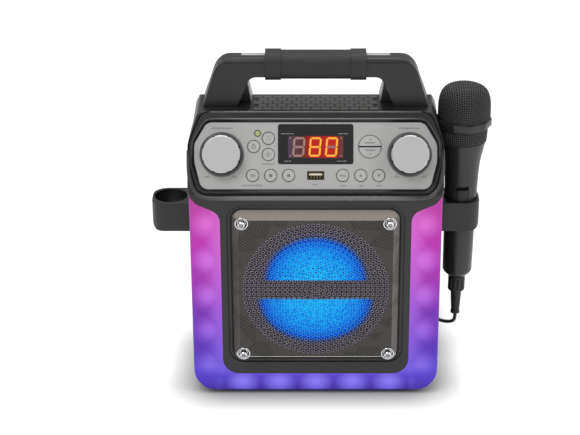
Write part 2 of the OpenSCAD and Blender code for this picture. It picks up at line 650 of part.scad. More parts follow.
handle_side = [[handle_front_y, deck_z - 20, 0], [foot_back_y + 4, deck_z - 20, 0], [foot_back_y, deck_z - 4, 4],
    [handle_y + arm_half_deep + 1, handle_low - 3, 10], [handle_y + arm_half_deep, handle_top, 5],
    [handle_y - arm_half_deep, handle_top, 5], [handle_front_y, deck_z, 3]];
module handle_half(y0, y1, foot_in, knee_in) {
    difference() {
        intersection() {
            along_y(y0, y1) arch(foot_in, knee_in);
            along_x(-body_w, body_w) polygon(outline(handle_side));
        }
        body_shape(0);
        for (x = [-1, 1]) rod_z(screw_r + 0.1, deck_z - 5, deck_z + 14, x * handle_screw_x, handle_y);
    }
}
module handle_front() color(black) handle_half(handle_front_y - 5, handle_y, 69.8, 61.4);
module handle_rear() color(black) handle_half(handle_y, foot_back_y + 5, 57.5, 61);
module grip_ring(x0, x1, grow) {
    along_x(x0, x1) translate([handle_y, handle_z])
        polygon(outline(rectangle(grip_deep + 2 * grow, grip_tall + 2 * grow, 8)));
}
grip_band = 14;
module handle_grip() color(rubber) difference() {
    union() {
        grip_ring(-grip_len / 2, grip_len / 2, 0);
        grip_ring(-grip_len / 2, -grip_len / 2 + grip_band, 0.8);
        grip_ring(grip_len / 2 - grip_band, grip_len / 2, 0.8);
    }
    handle_half(handle_front_y - 5, handle_y, 69.8, 61.4);
    handle_half(handle_y, foot_back_y + 5, 57.5, 61);
}
// The rubber mat on the deck with its staggered tread
mat_half = 55.8;
mat_front_y = front_y + 33.4;
mat_back_y = front_y + 69;
tread = [8.6, 7];
module top_mat() color(rubber) {
    box(-mat_half, mat_half, mat_front_y, mat_back_y, deck_z, deck_z + 0.8);
    for (row = [0:4]) for (k = [-6:6 - row % 2]) {
        x = (k + (row % 2) / 2) * tread.x;
        y = mat_front_y + 0.5 + row * tread.y;
        if (abs(x) + tread.x / 2 < mat_half + 0.6) translate([x - tread.x / 2 + 0.5, y, deck_z + 0.7])
            cube([tread.x - 1, tread.y - 1, 0.7]);
    }
}

// The holder rings
holder_screw_z = [holder_top_z - holder_h + 7, holder_top_z - 7];
module mic_holder(side) {
    out = ring_x + holder_bore_r + holder_wall;
    deep = holder_bore_r + holder_wall;
    difference() {
        intersection() {
            translate([0, 0, holder_top_z - holder_h]) linear_extrude(holder_h)
                polygon(outline([[rear_w / 2, holder_y - deep, 0], [out, holder_y - deep, 11],
                    [out, holder_y + deep, 14], [rear_w / 2, holder_y + deep, 0]]));
            along_y(holder_y - deep - 1, holder_y + deep + 1)
                polygon(outline([[rear_w / 2, holder_top_z - holder_h, 0], [out - 0.6, holder_top_z - holder_h, 6],
                    [out, holder_top_z, 1.5], [rear_w / 2, holder_top_z, 0]]));
        }
        rod_z(holder_bore_r, holder_top_z - holder_h - 1, holder_top_z + 1, ring_x, holder_y);
        for (z = holder_screw_z) translate([rear_w / 2 - 1, holder_y, z]) rotate([0, 90, 0]) cylinder(r = pilot_r, h = 7.5);
        translate([rear_w / 2 + 5.2, holder_y, 0]) for (k = [-1, 1]) translate([0, k * 10.6, holder_top_z - holder_h - 1])
            linear_extrude(holder_h - 2) polygon([[-2.6, k * 4.2], [-2.6, -k * 1.2], [1.2, k * 2.6], [1.2, k * 4.2]]);
    }
}
module right_mic_holder() color(black) mic_holder(1);
module left_mic_holder() color(black) mirror([1, 0, 0]) mic_holder(1);

// Small socket parts on the main board
module socket_body(x, w, h) { box(x - w / 2, x + w / 2, board_y + board_t, port_back_y - 0.3, socket_z - h / 2, socket_z + h / 2); }
module microphone_jacks() color(dark) for (x = [mic_jack_x, spare_jack_x]) difference() {
    union() {
        socket_body(x, 16, 16);
        rod_y(jack_nose_r, port_back_y - 0.5, port_y + 1.6, x, socket_z);
        rod_y(jack_nose_r + 1.6, port_y, port_y + 1.4, x, socket_z);
    }
    rod_y(jack_bore_r, board_y + board_t + 1, rear_y + 1, x, socket_z);
}
module aux_jack() color(dark) difference() {
    union() {
        socket_body(aux_x, 10, 10);
        rod_y(aux_nose_r, port_back_y - 0.5, port_y + 1, aux_x, socket_z);
    }
    rod_y(aux_bore_r, board_y + board_t + 1, rear_y + 1, aux_x, socket_z);
}
module hdmi_socket() color(steel) union() {
    difference() {
        box(hdmi_x - hdmi_w / 2, hdmi_x + hdmi_w / 2, board_y + board_t, port_y - 0.4, socket_z - hdmi_h / 2, socket_z + hdmi_h / 2);
        along_y(port_y - 11, port_y + 1) translate([hdmi_x, socket_z])
            polygon([[-7, 2.7], [-7, 0.2], [-5.2, -2.5], [5.2, -2.5], [7, 0.2], [7, 2.7]]);
    }
    box(hdmi_x - 5.6, hdmi_x + 5.6, port_y - 11.5, port_y - 2, socket_z - 0.2, socket_z + 0.9);
}
module power_inlet() color(dark) difference() {
    union() {
        socket_body(power_x, 9.4, 11);
        rod_y(power_hole_r, port_back_y - 0.5, port_y + 0.6, power_x, socket_z);
    }
    difference() {
        rod_y(2.8, board_y + board_t + 2, rear_y, power_x, socket_z);
        rod_y(0.65, board_y + board_t + 1, port_y - 0.5, power_x, socket_z);
    }
}
module main_board() color(board_green) {
    box(-70, 70, board_y, board_y + board_t, socket_z - 20, socket_z + 20);
    for (x = [-40, 2, 36]) box(x - 7, x + 7, board_y - 2, board_y + 0.2, socket_z - 12, socket_z + 2);
}
// Two cells side by side on a tray that rests on the floor of the rear housing
cell_r = 9.4;
cell_merge = 0.2;
battery_half = 34;
battery_y = 12;
battery_tray_h = 4;
module battery_pack() color([0.2, 0.3, 0.6]) union() {
    for (y = [-cell_r + cell_merge, cell_r - cell_merge])
        translate([-battery_half, battery_y + y, foot_h + wall + cell_r + cell_merge])
            rotate([0, 90, 0]) cylinder(r = cell_r, h = 2 * battery_half);
    box(-battery_half + 1, battery_half - 1, battery_y - cell_r + cell_merge, battery_y + cell_r - cell_merge,
        foot_h + wall, foot_h + wall + battery_tray_h);
}
// Screws of the case, the handle, the holders and the woofer
module case_screws() color(steel) {
    for (x = [-1, 1], b = case_boss_at) {
        rod_y(screw_head_r, rear_head_y + 0.02, rear_head_y + 2.6, x * b[0], b[1]);
        rod_y(screw_r, seam_y - 14, rear_head_y + 0.5, x * b[0], b[1]);
    }
    for (x = [-1, 1]) {
        rod_z(screw_r - 0.05, deck_z - 9, deck_z + 12, x * handle_screw_x, handle_y);
        rod_z(screw_head_r, deck_z - wall - 2.4, deck_z - wall - 0.02, x * handle_screw_x, handle_y);
    }
    for (a = [45:90:315]) {
        rod_y(screw_r, seat_y + 0.8, baffle_back_y + flange_t + 0.5, woofer_screw_r * cos(a), speaker_z + woofer_screw_r * sin(a));
        rod_y(screw_head_r, baffle_back_y + flange_t + 0.02, baffle_back_y + flange_t + 2, woofer_screw_r * cos(a),
            speaker_z + woofer_screw_r * sin(a));
    }
    for (x = [-1, 1], z = holder_screw_z) {
        translate([x * (rear_w / 2 - wall - 2), holder_y, z]) rotate([0, x * 90, 0]) cylinder(r = screw_r, h = wall + 7);
        translate([x * (rear_w / 2 - wall - 2.3), holder_y, z]) rotate([0, x * 90, 0]) cylinder(r = screw_head_r, h = 2.28);
    }
}
foot_x = body_w / 2 - corner_r - 8;
foot_y = body_d / 2 - 18;
module feet() color(rubber) for (x = [-1, 1], y = [-1, 1]) translate([x * foot_x, y * foot_y, 0])
    rotate_extrude() polygon([[0, 0], [foot_r - 0.8, 0], [foot_r, 0.8], [foot_r, foot_h], [0, foot_h]]);

// The microphone stands in its ring with a slight lean; its own axis is upright here
module on_mic() {
    translate([ring_x, holder_y, holder_top_z]) rotate([0, mic_lean, 0]) translate([0, 0, -holder_top_z]) children();
}
seat_r = holder_bore_r - 0.3;
slot_w = 12.4;
slot_top_z = holder_top_z + 15.6;
slot_h = 28;
collar_r = 25.4;
module mic_handle() color(black) on_mic() difference() {
    rotate_extrude() polygon([[0, 82], [8, 82], [10.2, 84], [10.9, 88], [11.8, 112], [12.6, 132], [13.5, 154],
        [seat_r, holder_top_z], [15.4, holder_top_z + 12], [16.6, 200], [18.4, 212], [19.4, 218], [19.4, 224], [17, 224],
        [17, 220], [13, 216], [13, 176], [9, 120], [9, 90], [0, 90]]);
    box(-slot_w / 2, slot_w / 2, -20, -10.5, slot_top_z - slot_h, slot_top_z);
}
module mic_switch() color(dark) on_mic() intersection() {
    rotate_extrude() polygon([[11, slot_top_z - slot_h], [13, slot_top_z - slot_h], [14.2, holder_top_z - 8],
        [14.6, holder_top_z], [15, slot_top_z], [11, slot_top_z]]);
    box(-slot_w / 2 + 0.2, slot_w / 2 - 0.2, -20, -10.8,
        slot_top_z - slot_h + 0.2, slot_top_z - switch_travel - 0.2);
}
module mic_ring() color(black) on_mic() difference() {
    rotate([0, 0, 15]) translate([0, 0, 242]) cylinder(r = collar_r, h = 8.6, $fn = 12);
    translate([0, 0, 241]) cylinder(r = 24.1, h = 11);
}
module mic_grille() color(dark) on_mic() rotate_extrude() polygon([[18.6, 224.02], [19.8, 226], [22, 236],
    [23.8, 242.2], [23.8, 251.4], [24.4, 255], [24.2, 262], [23, 271], [20.2, 280], [15.6, 286], [9, 289.2], [0, 290],
    [0, 288.6], [8.8, 287.8], [14.8, 284.8], [19, 279.2], [21.6, 270.6], [22.8, 262], [23, 255], [22.4, 242.6],
    [20.6, 236.2], [18.4, 226.4], [17.2, 224.02]]);
module mic_capsule() color(steel) on_mic() rotate_extrude() polygon([[0, 216.6], [12.6, 216.6], [16.6, 220.6],
    [16.6, 226], [14, 232], [14, 252], [12, 254], [0, 254]]);
// Ribbed upper part and tapered lower part of the strain relief
module mic_boot() color(rubber) on_mic() difference() {
    rotate_extrude() polygon([[0, 51], [3.4, 51], [4.3, 52.4], [5.3, 71], [6.6, 73.4], [7, 82], [0, 82]]);
    for (a = [0:36:324]) rotate([0, 0, a]) translate([7.6, 0, 72]) cylinder(r = 1.1, h = 9);
}

// The cord from the microphone to the plug. Points that the cord follows, in order
cord_d = 3.4;
cord_r = cord_d / 2;
coil_at = [88, 100];
coil_out_r = 23.3;
coil_in_r = 11.6;
coil_layers = 4;
layer_turns = 3;
layer_step = 3.95;
coil_top_z = cord_r + (coil_layers - 1) * layer_step;
coil_start_x = coil_at.x + coil_out_r;
mic_cord_route = [[133.1, 5, 51], [133.2, 5.2, 46.6], [132.4, 8, 41], [129.4, 14, 36.2], [125.4, 23, 31.4],
    [121.6, 34, 26.6], [119, 45, 22.6], [117.6, 56, 19.2], [115.8, 67, 16.6], [113.6, 78, 14.8], [112, 87, 14],
    [coil_start_x, 94, coil_top_z], [coil_start_x, coil_at.y, coil_top_z]];
tail_route = [[coil_start_x, coil_at.y, cord_r], [coil_start_x, 106, cord_r], [109, 117, cord_r], [102, 127, cord_r],
    [91, 134, cord_r], [79, 137, cord_r + 0.6], [68, 138, 5], [59.5, 138, 12], [54.5, 137.5, 22], [52.6, 135.5, 34],
    [52, 131, 45], [52, 124, 54], [52, 116, 59], [mic_jack_x, 110, socket_z], [mic_jack_x, 105, socket_z]];
// Point on a smooth curve through four points
function between(a, b, c, d, t) = 0.5 * (2 * b + (c - a) * t + (2 * a - 5 * b + 4 * c - d) * t * t
    + (3 * b - a - 3 * c + d) * t * t * t);
function smooth(route, steps) = let(m = len(route) - 1)
    [for (i = [0:m - 1], k = [0:steps - 1]) between(route[max(0, i - 1)], route[i], route[i + 1],
        route[min(m, i + 2)], k / steps), route[m]];
// Direction of a path at point i; the ends run straight
function heading(path, i, first, last) = i == 0 ? first : i == len(path) - 1 ? last : unit(path[i + 1] - path[i - 1]);
// Side vectors carried along the path without twist
function carry(path, first, last, i = 0, side = [1, 0, 0]) =
    let(t = heading(path, i, first, last), s = unit(side - (side * t) * t))
    i == len(path) - 1 ? [s] : concat([s], carry(path, first, last, i + 1, s));
module tube(path, r, sides, first, last) {
    m = len(path);
    side = carry(path, first, last, 0, abs(first.x) > 0.9 ? [0, 0, 1] : [1, 0, 0]);
    points = [for (i = [0:m - 1], k = [0:sides - 1]) let(t = heading(path, i, first, last), a = 360 * k / sides)
        path[i] + r * (side[i] * cos(a) + cross(t, side[i]) * sin(a))];
    faces = concat([[for (k = [0:sides - 1]) k]], [[for (k = [sides - 1:-1:0]) (m - 1) * sides + k]],
        [for (i = [0:m - 2], k = [0:sides - 1]) let(n = (k + 1) % sides)
            [i * sides + k, (i + 1) * sides + k, i * sides + n]],
        [for (i = [0:m - 2], k = [0:sides - 1]) let(n = (k + 1) % sides)
            [i * sides + n, (i + 1) * sides + k, (i + 1) * sides + n]]);
    polyhedron(points, faces, convexity = 6);
}
module mic_cord() color(rubber) tube(smooth(mic_cord_route, 2), cord_r, 8, [-sin(mic_lean), 0, -cos(mic_lean)], [0, 1, 0]);
module mic_cord_tail() color(rubber) tube(smooth(tail_route, 2), cord_r, 8, [0, 1, 0], [0, -1, 0]);
// The coil: each layer spirals in or out, and the cord drops a layer where the spiral turns back
function coil_radius(t) = let(layer = min(coil_layers - 1, floor(t / layer_turns)), part = t / layer_turns - layer)
    layer % 2 == 0 ? coil_out_r - (coil_out_r - coil_in_r) * part : coil_in_r + (coil_out_r - coil_in_r) * part;
function ease(x) = let(c = max(0, min(1, x))) c * c * (3 - 2 * c);
function coil_drop(t) = let(step = [for (k = [1:coil_layers - 1]) ease((t - k * layer_turns) * 2 + 0.5)])
    [for (s = step) 1] * step;
function coil_point(t) = [coil_at.x + coil_radius(t) * cos(360 * t), coil_at.y + coil_radius(t) * sin(360 * t),
    coil_top_z - layer_step * coil_drop(t)];
loop_rings = 24;
coil_turns = coil_layers * layer_turns;
coil_path = [for (k = [0:coil_turns * loop_rings]) coil_point(k / loop_rings)];
coil_gap = min([for (i = [0:len(coil_path) - 1], j = [i + loop_rings / 2:len(coil_path) - 1])
    if (j < len(coil_path)) norm(coil_path[i] - coil_path[j])]) - cord_d;
module mic_cord_coil() color(rubber) tube(coil_path, cord_r, 6, [0, 1, 0], [0, 1, 0]);
function path_length(p) = [for (i = [1:len(p) - 1]) norm(p[i] - p[i - 1])] * [for (i = [1:len(p) - 1]) 1];
echo(coil_gap = coil_gap, cord_length = path_length(smooth(mic_cord_route, 2)) + path_length(coil_path)
    + path_length(smooth(tail_route, 2)));

// The plug in the rear socket: shaft, barrel and bend relief
plug_r = 7.2;
module mic_plug() color(dark) union() {
    rod_y(jack_bore_r - 0.06, board_y + board_t + 1.2, port_y + 2, mic_jack_x, socket_z);
    turned_y(mic_jack_x, port_y + 1.65, socket_z) polygon([[0, 0], [plug_r, 0], [plug_r, 22], [plug_r - 0.8, 23],
        [4.6, 23], [3.6, 44.35], [0, 44.35]]);
}

front_housing();
rear_housing();
light_frame();
light_strip();
console_bezel();
console_panel();
display_window();
display_module();
indicator_lamp();
usb_socket();
control_board();
button_switches();
mic_volume_pot();
master_volume_pot();
speaker_cover();
cover_screws();
light_bar();
woofer_basket();
woofer_surround();
woofer_cone();
dust_cap();
woofer_magnet();
main_board();
microphone_jacks();
aux_jack();
hdmi_socket();
power_inlet();
battery_pack();
case_screws();
feet();
handle_front();
handle_rear();
handle_grip();
top_mat();
left_mic_holder();
right_mic_holder();
mic_volume_knob();
master_volume_knob();
power_button();
pairing_button();
lights_button();
voice_button();
record_button();
stop_button();
play_button();
up_button();
down_button();
folder_up_button();
folder_down_button();
mic_handle();
mic_ring();
mic_grille();
mic_capsule();
mic_switch();
mic_boot();
mic_cord();
mic_cord_coil();
mic_cord_tail();
mic_plug();
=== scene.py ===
"""Looks of a portable karaoke speaker with a console, a light frame and a corded microphone."""

import contextlib
import functools
import math

import bpy
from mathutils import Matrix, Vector


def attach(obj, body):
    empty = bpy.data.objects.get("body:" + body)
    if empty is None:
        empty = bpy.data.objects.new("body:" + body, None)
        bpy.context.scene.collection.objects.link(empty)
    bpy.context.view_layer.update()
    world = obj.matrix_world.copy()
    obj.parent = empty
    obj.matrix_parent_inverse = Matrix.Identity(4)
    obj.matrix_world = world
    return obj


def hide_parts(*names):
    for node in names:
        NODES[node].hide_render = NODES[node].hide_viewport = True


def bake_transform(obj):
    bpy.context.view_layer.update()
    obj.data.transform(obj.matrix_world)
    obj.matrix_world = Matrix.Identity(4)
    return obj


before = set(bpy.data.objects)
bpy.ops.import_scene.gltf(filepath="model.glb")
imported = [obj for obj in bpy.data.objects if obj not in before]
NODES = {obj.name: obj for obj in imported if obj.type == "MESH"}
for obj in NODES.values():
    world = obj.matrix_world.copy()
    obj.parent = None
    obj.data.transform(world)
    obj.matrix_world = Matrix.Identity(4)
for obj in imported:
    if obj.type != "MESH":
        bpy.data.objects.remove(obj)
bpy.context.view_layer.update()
MM = 0.001

# Sizes that the speaker shares with its construction, in millimetres
FRONT_Y = -62
CONSOLE_Z = 205
CONSOLE_LEAN = math.radians(25)
TREAD_Z = 273.0
SPEAKER_Z = 114.7
COVER_FACE_Y = -70.5
SCREW_OUT = 66.2
RING_PITCH = 4.31
HOLE_RINGS = 15
HOLE_R = 1.15
KNOB_X = 83.4
ROW_S = 17.6
BUTTON_TOP = 0.9
MIC_X = 134.2
MIC_Y = 5

LEAN_SIN, LEAN_COS = math.sin(CONSOLE_LEAN), math.cos(CONSOLE_LEAN)
BLACK, WHITE = (0.0, 0.0, 0.0, 1.0), (1.0, 1.0, 1.0, 1.0)


def linear(red, green, blue):
    """A screen colour, from 0 to 255, as the linear colour that a shader takes."""
    return tuple((c / 255 / 12.92) if c <= 10 else ((c / 255 + 0.055) / 1.055) ** 2.4
                 for c in (red, green, blue)) + (1.0,)


def grey(level):
    return linear(level, level, level)


# Camera


def add_camera():
    bpy.ops.object.camera_add(location=(0, -1.5509, 0.8934), rotation=(math.radians(64.5), 0, 0))
    camera = bpy.context.object
    camera.data.lens = 114.66
    camera.data.sensor_width = 36
    camera.data.shift_x = -0.0443
    camera.data.clip_end = 50
    bpy.context.scene.camera = camera


# The microphone's cord

CORD_R = 1.7
COIL_AT = (88, 100)
COIL_OUT, COIL_IN = 23.3, 11.6
COIL_LAYERS, LAYER_TURNS, LAYER_STEP = 4, 3, 3.95
COIL_TOP = CORD_R + (COIL_LAYERS - 1) * LAYER_STEP
COIL_X = COIL_AT[0] + COIL_OUT
MIC_CORD = [(133.1, 5, 51), (133.2, 5.2, 46.6), (132.4, 8, 41), (129.4, 14, 36.2), (125.4, 23, 31.4),
            (121.6, 34, 26.6), (119, 45, 22.6), (117.6, 56, 19.2), (115.8, 67, 16.6), (113.6, 78, 14.8),
            (112, 87, 14), (COIL_X, 94, COIL_TOP), (COIL_X, COIL_AT[1], COIL_TOP)]
CORD_TAIL = [(COIL_X, COIL_AT[1], CORD_R), (COIL_X, 106, CORD_R), (109, 117, CORD_R), (102, 127, CORD_R),
             (91, 134, CORD_R), (79, 137, CORD_R + 0.6), (68, 138, 5), (59.5, 138, 12), (54.5, 137.5, 22),
             (52.6, 135.5, 34), (52, 131, 45), (52, 124, 54), (52, 116, 59), (52, 110, 60), (52, 105, 60)]


def smooth(route, steps=3):
    """Points on a smooth curve through the route's points."""
    points = [Vector(p) for p in route]
    curve = []
    for i in range(len(points) - 1):
        a, b = points[max(0, i - 1)], points[i]
        c, d = points[i + 1], points[min(len(points) - 1, i + 2)]
        for k in range(steps):
            t = k / steps
            curve.append(0.5 * (2 * b + (c - a) * t + (2 * a - 5 * b + 4 * c - d) * t * t
                                + (3 * b - a - 3 * c + d) * t * t * t))
    return curve + [points[-1]]


def coil_points(rings=24):
    """The coil: each layer spirals in or out, and the cord drops a layer where the spiral turns back."""
    points = []
    for k in range(COIL_LAYERS * LAYER_TURNS * rings + 1):
        t = k / rings
        layer = min(COIL_LAYERS - 1, int(t // LAYER_TURNS))
        part = t / LAYER_TURNS - layer
        ends = (COIL_OUT, COIL_IN) if layer % 2 == 0 else (COIL_IN, COIL_OUT)
        radius = ends[0] + (ends[1] - ends[0]) * part
        drop = 0
        for step in range(1, COIL_LAYERS):
            c = max(0, min(1, (t - step * LAYER_TURNS) * 2 + 0.5))
            drop += c * c * (3 - 2 * c)
        turn = math.tau * t
        points.append(Vector((COIL_AT[0] + radius * math.cos(turn), COIL_AT[1] + radius * math.sin(turn),
                              COIL_TOP - LAYER_STEP * drop)))
    return points


def make_cord():
    """One rubber cord from the microphone's boot through the coil to the plug."""
    path = smooth(MIC_CORD)[:-1] + coil_points() + smooth(CORD_TAIL)[1:]
    path = [p * MM for p in path]
    cord = drawn_line("mic_lead", path, CORD_R * MM, roundness=3)
    cord.data.materials.append(plain("cord_rubber"))
    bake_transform(cord)
    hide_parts("mic_cord", "mic_cord_coil", "mic_cord_tail")


# Help for modelling


def select_only(*objects):
    bpy.ops.object.select_all(action="DESELECT")
    for piece in objects:
        piece.select_set(True)
    bpy.context.view_layer.objects.active = objects[0]


def fresh(kind, **options):
    """A new primitive of a kind, alone in the selection."""
    bpy.ops.object.select_all(action="DESELECT")
    getattr(bpy.ops.mesh, f"primitive_{kind}_add")(**options)
    return bpy.context.object


def drawn_line(name, points, radius=0.0, roundness=4):
    """A mesh in straight steps from point to point; with a radius it is a round rod with closed ends."""
    data = bpy.data.curves.new(name, "CURVE")
    data.dimensions = "3D"
    spline = data.splines.new("POLY")
    spline.points.add(len(points) - 1)
    for point, place in zip(spline.points, points):
        point.co = (*place, 1)
    if radius:
        data.bevel_depth = radius
        data.bevel_resolution = roundness
        data.use_fill_caps = True
    line = bpy.data.objects.new(name, data)
    bpy.context.scene.collection.objects.link(line)
    select_only(line)
    bpy.ops.object.convert(target="MESH")
    if radius:
        bpy.ops.object.shade_smooth()
    return bpy.context.object


def seated(piece, name, material, body="body"):
    """Names a finished piece, gives it its material and puts its place in its mesh."""
    select_only(piece)
    bpy.ops.object.transform_apply(location=True, rotation=True, scale=True)
    piece.name = piece.data.name = name
    piece.data.materials.clear()
    piece.data.materials.append(material)
    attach(piece, body)
    return piece


def joined(pieces):
    select_only(*pieces)
    bpy.ops.object.join()
    return bpy.context.object


@contextlib.contextmanager
def editing():
    """Puts the active piece in edit mode with all of it picked, and takes it out again."""
    bpy.ops.object.mode_set(mode="EDIT")
    bpy.ops.mesh.select_all(action="SELECT")
    yield
    bpy.ops.object.mode_set(mode="OBJECT")


def thicken(direction, depth):
    """Gives the flat piece that is active a thickness along a direction."""
    with editing():
        bpy.ops.mesh.extrude_region_move(TRANSFORM_OT_translate={"value": tuple(direction * depth)})
        bpy.ops.mesh.select_all(action="SELECT")
        bpy.ops.mesh.normals_make_consistent(inside=False)


def console_point(x, s, n):
    """A point of the console: across, up the slope and out of the panel."""
    return Vector((x, FRONT_Y + s * LEAN_SIN - n * LEAN_COS, CONSOLE_Z + s * LEAN_COS + n * LEAN_SIN)) * MM


CONSOLE_TURN = (math.pi / 2 - CONSOLE_LEAN, 0, 0)
CONSOLE_OUT = Vector((0, -LEAN_COS, LEAN_SIN))
PRINT_T = 0.06 * MM


def on_console(flat, x, s, n, depth):
    """Lays a flat piece on the console and gives it its thickness."""
    flat.rotation_euler = CONSOLE_TURN
    flat.location = console_point(x, s, n)
    bpy.ops.object.transform_apply(location=True, rotation=True)
    thicken(CONSOLE_OUT, depth)
    return flat


def console_bar(x, s, n, width, height, turn=0.0, depth=PRINT_T, cut=0.0):
    """A thin printed bar on the console, with its corners cut off if asked."""
    bar = fresh("plane", size=1, location=(0, 0, 0))
    bar.scale = (width * MM, height * MM, 1)
    bpy.ops.object.transform_apply(scale=True)
    if cut:
        with editing():
            bpy.ops.mesh.bevel(offset=cut * MM, affect="VERTICES")
    bar.rotation_euler = (0, 0, turn)
    bpy.ops.object.transform_apply(rotation=True)
    return on_console(bar, x, s, n, depth)


def console_disc(x, s, n, radius, corners=24, turn=0.0, hole=0.0, depth=PRINT_T):
    """A printed disc, ring or triangle on the console."""
    disc = fresh("circle", vertices=corners, radius=radius * MM, fill_type="NGON",
                 rotation=(0, 0, turn))
    bpy.ops.object.transform_apply(rotation=True)
    if hole:
        with editing():
            bpy.ops.mesh.inset(thickness=(radius - hole) * MM)
            bpy.ops.mesh.delete(type="FACE")
    return on_console(disc, x, s, n, depth)


# Help for materials


def put(tree, socket, value):
    """Links a socket to an input, or puts a plain value there."""
    if isinstance(value, bpy.types.NodeSocket):
        tree.links.new(value, socket)
    else:
        socket.default_value = value


def fill(tree, node, **values):
    """Fills a node's inputs by their names, with _ for a space."""
    for name, value in values.items():
        put(tree, node.inputs[name.replace("_", " ")], value)


def add(tree, kind, **values):
    """A new node of a kind, with its settings and inputs filled in by name."""
    node = tree.nodes.new(kind if kind.startswith("NodeGroup") else "ShaderNode" + kind)
    number = len(tree.nodes) - 1
    node.location = (number % 8 * 220, number // 8 * -300)
    for name, value in values.items():
        if hasattr(node, name):
            setattr(node, name, value)
        else:
            fill(tree, node, **{name: value})
    return node


def math_node(operation, tree, a, b=None, clamp=False):
    """The result of an operation on sockets or numbers."""
    node = add(tree, "Math", operation=operation, use_clamp=clamp)
    put(tree, node.inputs[0], a)
    if b is not None:
        put(tree, node.inputs[1], b)
    return node.outputs[0]


times, plus, minus, ratio, larger, size_of = (
    functools.partial(math_node, operation)
    for operation in ("MULTIPLY", "ADD", "SUBTRACT", "DIVIDE", "MAXIMUM", "ABSOLUTE"))


def squared(tree, a):
    return math_node("POWER", tree, a, 2.0)


def distance(tree, a, b):
    """How far a point lies from where a and b are both nought."""
    return math_node("SQRT", tree, plus(tree, squared(tree, a), squared(tree, b)))


def ramp(tree, value, *stops):
    """Colours along a value from 0 to 1; a stop is its place and its screen colour's red, green and blue."""
    node = add(tree, "ValToRGB", Fac=value)
    elements = node.color_ramp.elements
    while len(elements) < len(stops):
        elements.new(0.5)
    for element, (place, *colour) in zip(elements, stops):
        element.position = place
        element.color = linear(*colour)
    return node.outputs["Color"]


def span(tree, value, low, high, to_low=0.0, to_high=1.0, kind="SMOOTHSTEP"):
    """Value brought from one range to another, smoothly and within its ends."""
    node = add(tree, "MapRange", interpolation_type=kind, From_Min=low, From_Max=high,
               To_Min=to_low, To_Max=to_high, Value=value)
    return node.outputs["Result"]


def mix(tree, factor, a, b):
    """Mix of two colours or sockets."""
    node = add(tree, "Mix", data_type="RGBA")
    for index, value in ((0, factor), (6, a), (7, b)):
        put(tree, node.inputs[index], value)
    return node.outputs[2]


def object_place(tree):
    return add(tree, "TexCoord").outputs["Object"]


def place_axes(tree):
    """The point's x, y and z in the speaker's frame, in metres."""
    return add(tree, "SeparateXYZ", Vector=object_place(tree)).outputs


def new_group(name, inputs, outputs):
    tree = bpy.data.node_groups.new(name, "ShaderNodeTree")
    for label, value in inputs:
        socket = tree.interface.new_socket(name=label, in_out="INPUT", socket_type="NodeSocketFloat")
        socket.default_value = value
    for label in outputs:
        tree.interface.new_socket(name=label, in_out="OUTPUT", socket_type="NodeSocketFloat")
    return tree, add(tree, "NodeGroupInput").outputs, add(tree, "NodeGroupOutput")


@functools.cache
def grain_group():
    """Fine moulded grain, and slow patches of handling."""
    tree, inside, outside = new_group("moulded_grain", [("Scale", 900.0), ("Patch Scale", 14.0)],
                                      ["Grain", "Patches"])
    place = object_place(tree)
    fine = add(tree, "TexNoise", Detail=3.0, Roughness=0.6, Vector=place, Scale=inside["Scale"])
    slow = add(tree, "TexNoise", Detail=4.0, Roughness=0.55, Vector=place, Scale=inside["Patch Scale"])
    fill(tree, outside, Grain=fine.outputs["Fac"], Patches=slow.outputs["Fac"])
    return tree


def grain_parts(tree, **scales):
    """The grain and the patches, at their own scales or at given ones."""
    return add(tree, "Group", node_tree=grain_group(), **scales).outputs


def relief(tree, shader, height, deep, strength=1.0, edge=0.0):
    """Bumps of a depth in millimetres, over edges that look rounded by a radius if one is given."""
    bump = add(tree, "Bump", Strength=strength, Distance=deep * MM, Height=height)
    if edge:
        soft = add(tree, "Bevel", samples=6, Radius=edge * MM)
        fill(tree, bump, Normal=soft.outputs[0])
    fill(tree, shader, Normal=bump.outputs[0])


def plain_material(name):
    material = bpy.data.materials.new(name)
    material.use_nodes = True
    tree = material.node_tree
    tree.nodes.clear()
    shader = add(tree, "BsdfPrincipled")
    add(tree, "OutputMaterial", Surface=shader.outputs[0])
    return material, tree, shader


@functools.cache
def finish(name, colour, rough, metallic=0.0, grain=900.0, bump=0.02, vary=0.12, rough_vary=0.08, coat=0.0,
           edge=0.0):
    """A moulded or metal finish: colour and gloss drift a little, and fine grain catches the light."""
    material, tree, shader = plain_material(name)
    parts = grain_parts(tree, Scale=grain)
    low, high = (tuple(min(1, c * share) for c in colour[:3]) + (1,) for share in (1 - vary, 1 + vary))
    gloss = span(tree, parts["Patches"], 0.3, 0.7, max(0.02, rough - rough_vary), rough + rough_vary)
    fill(tree, shader, Base_Color=mix(tree, parts["Patches"], low, high), Roughness=gloss,
         Metallic=metallic, Coat_Weight=coat, Coat_Roughness=0.08)
    relief(tree, shader, parts["Grain"], bump, edge=edge)
    return material


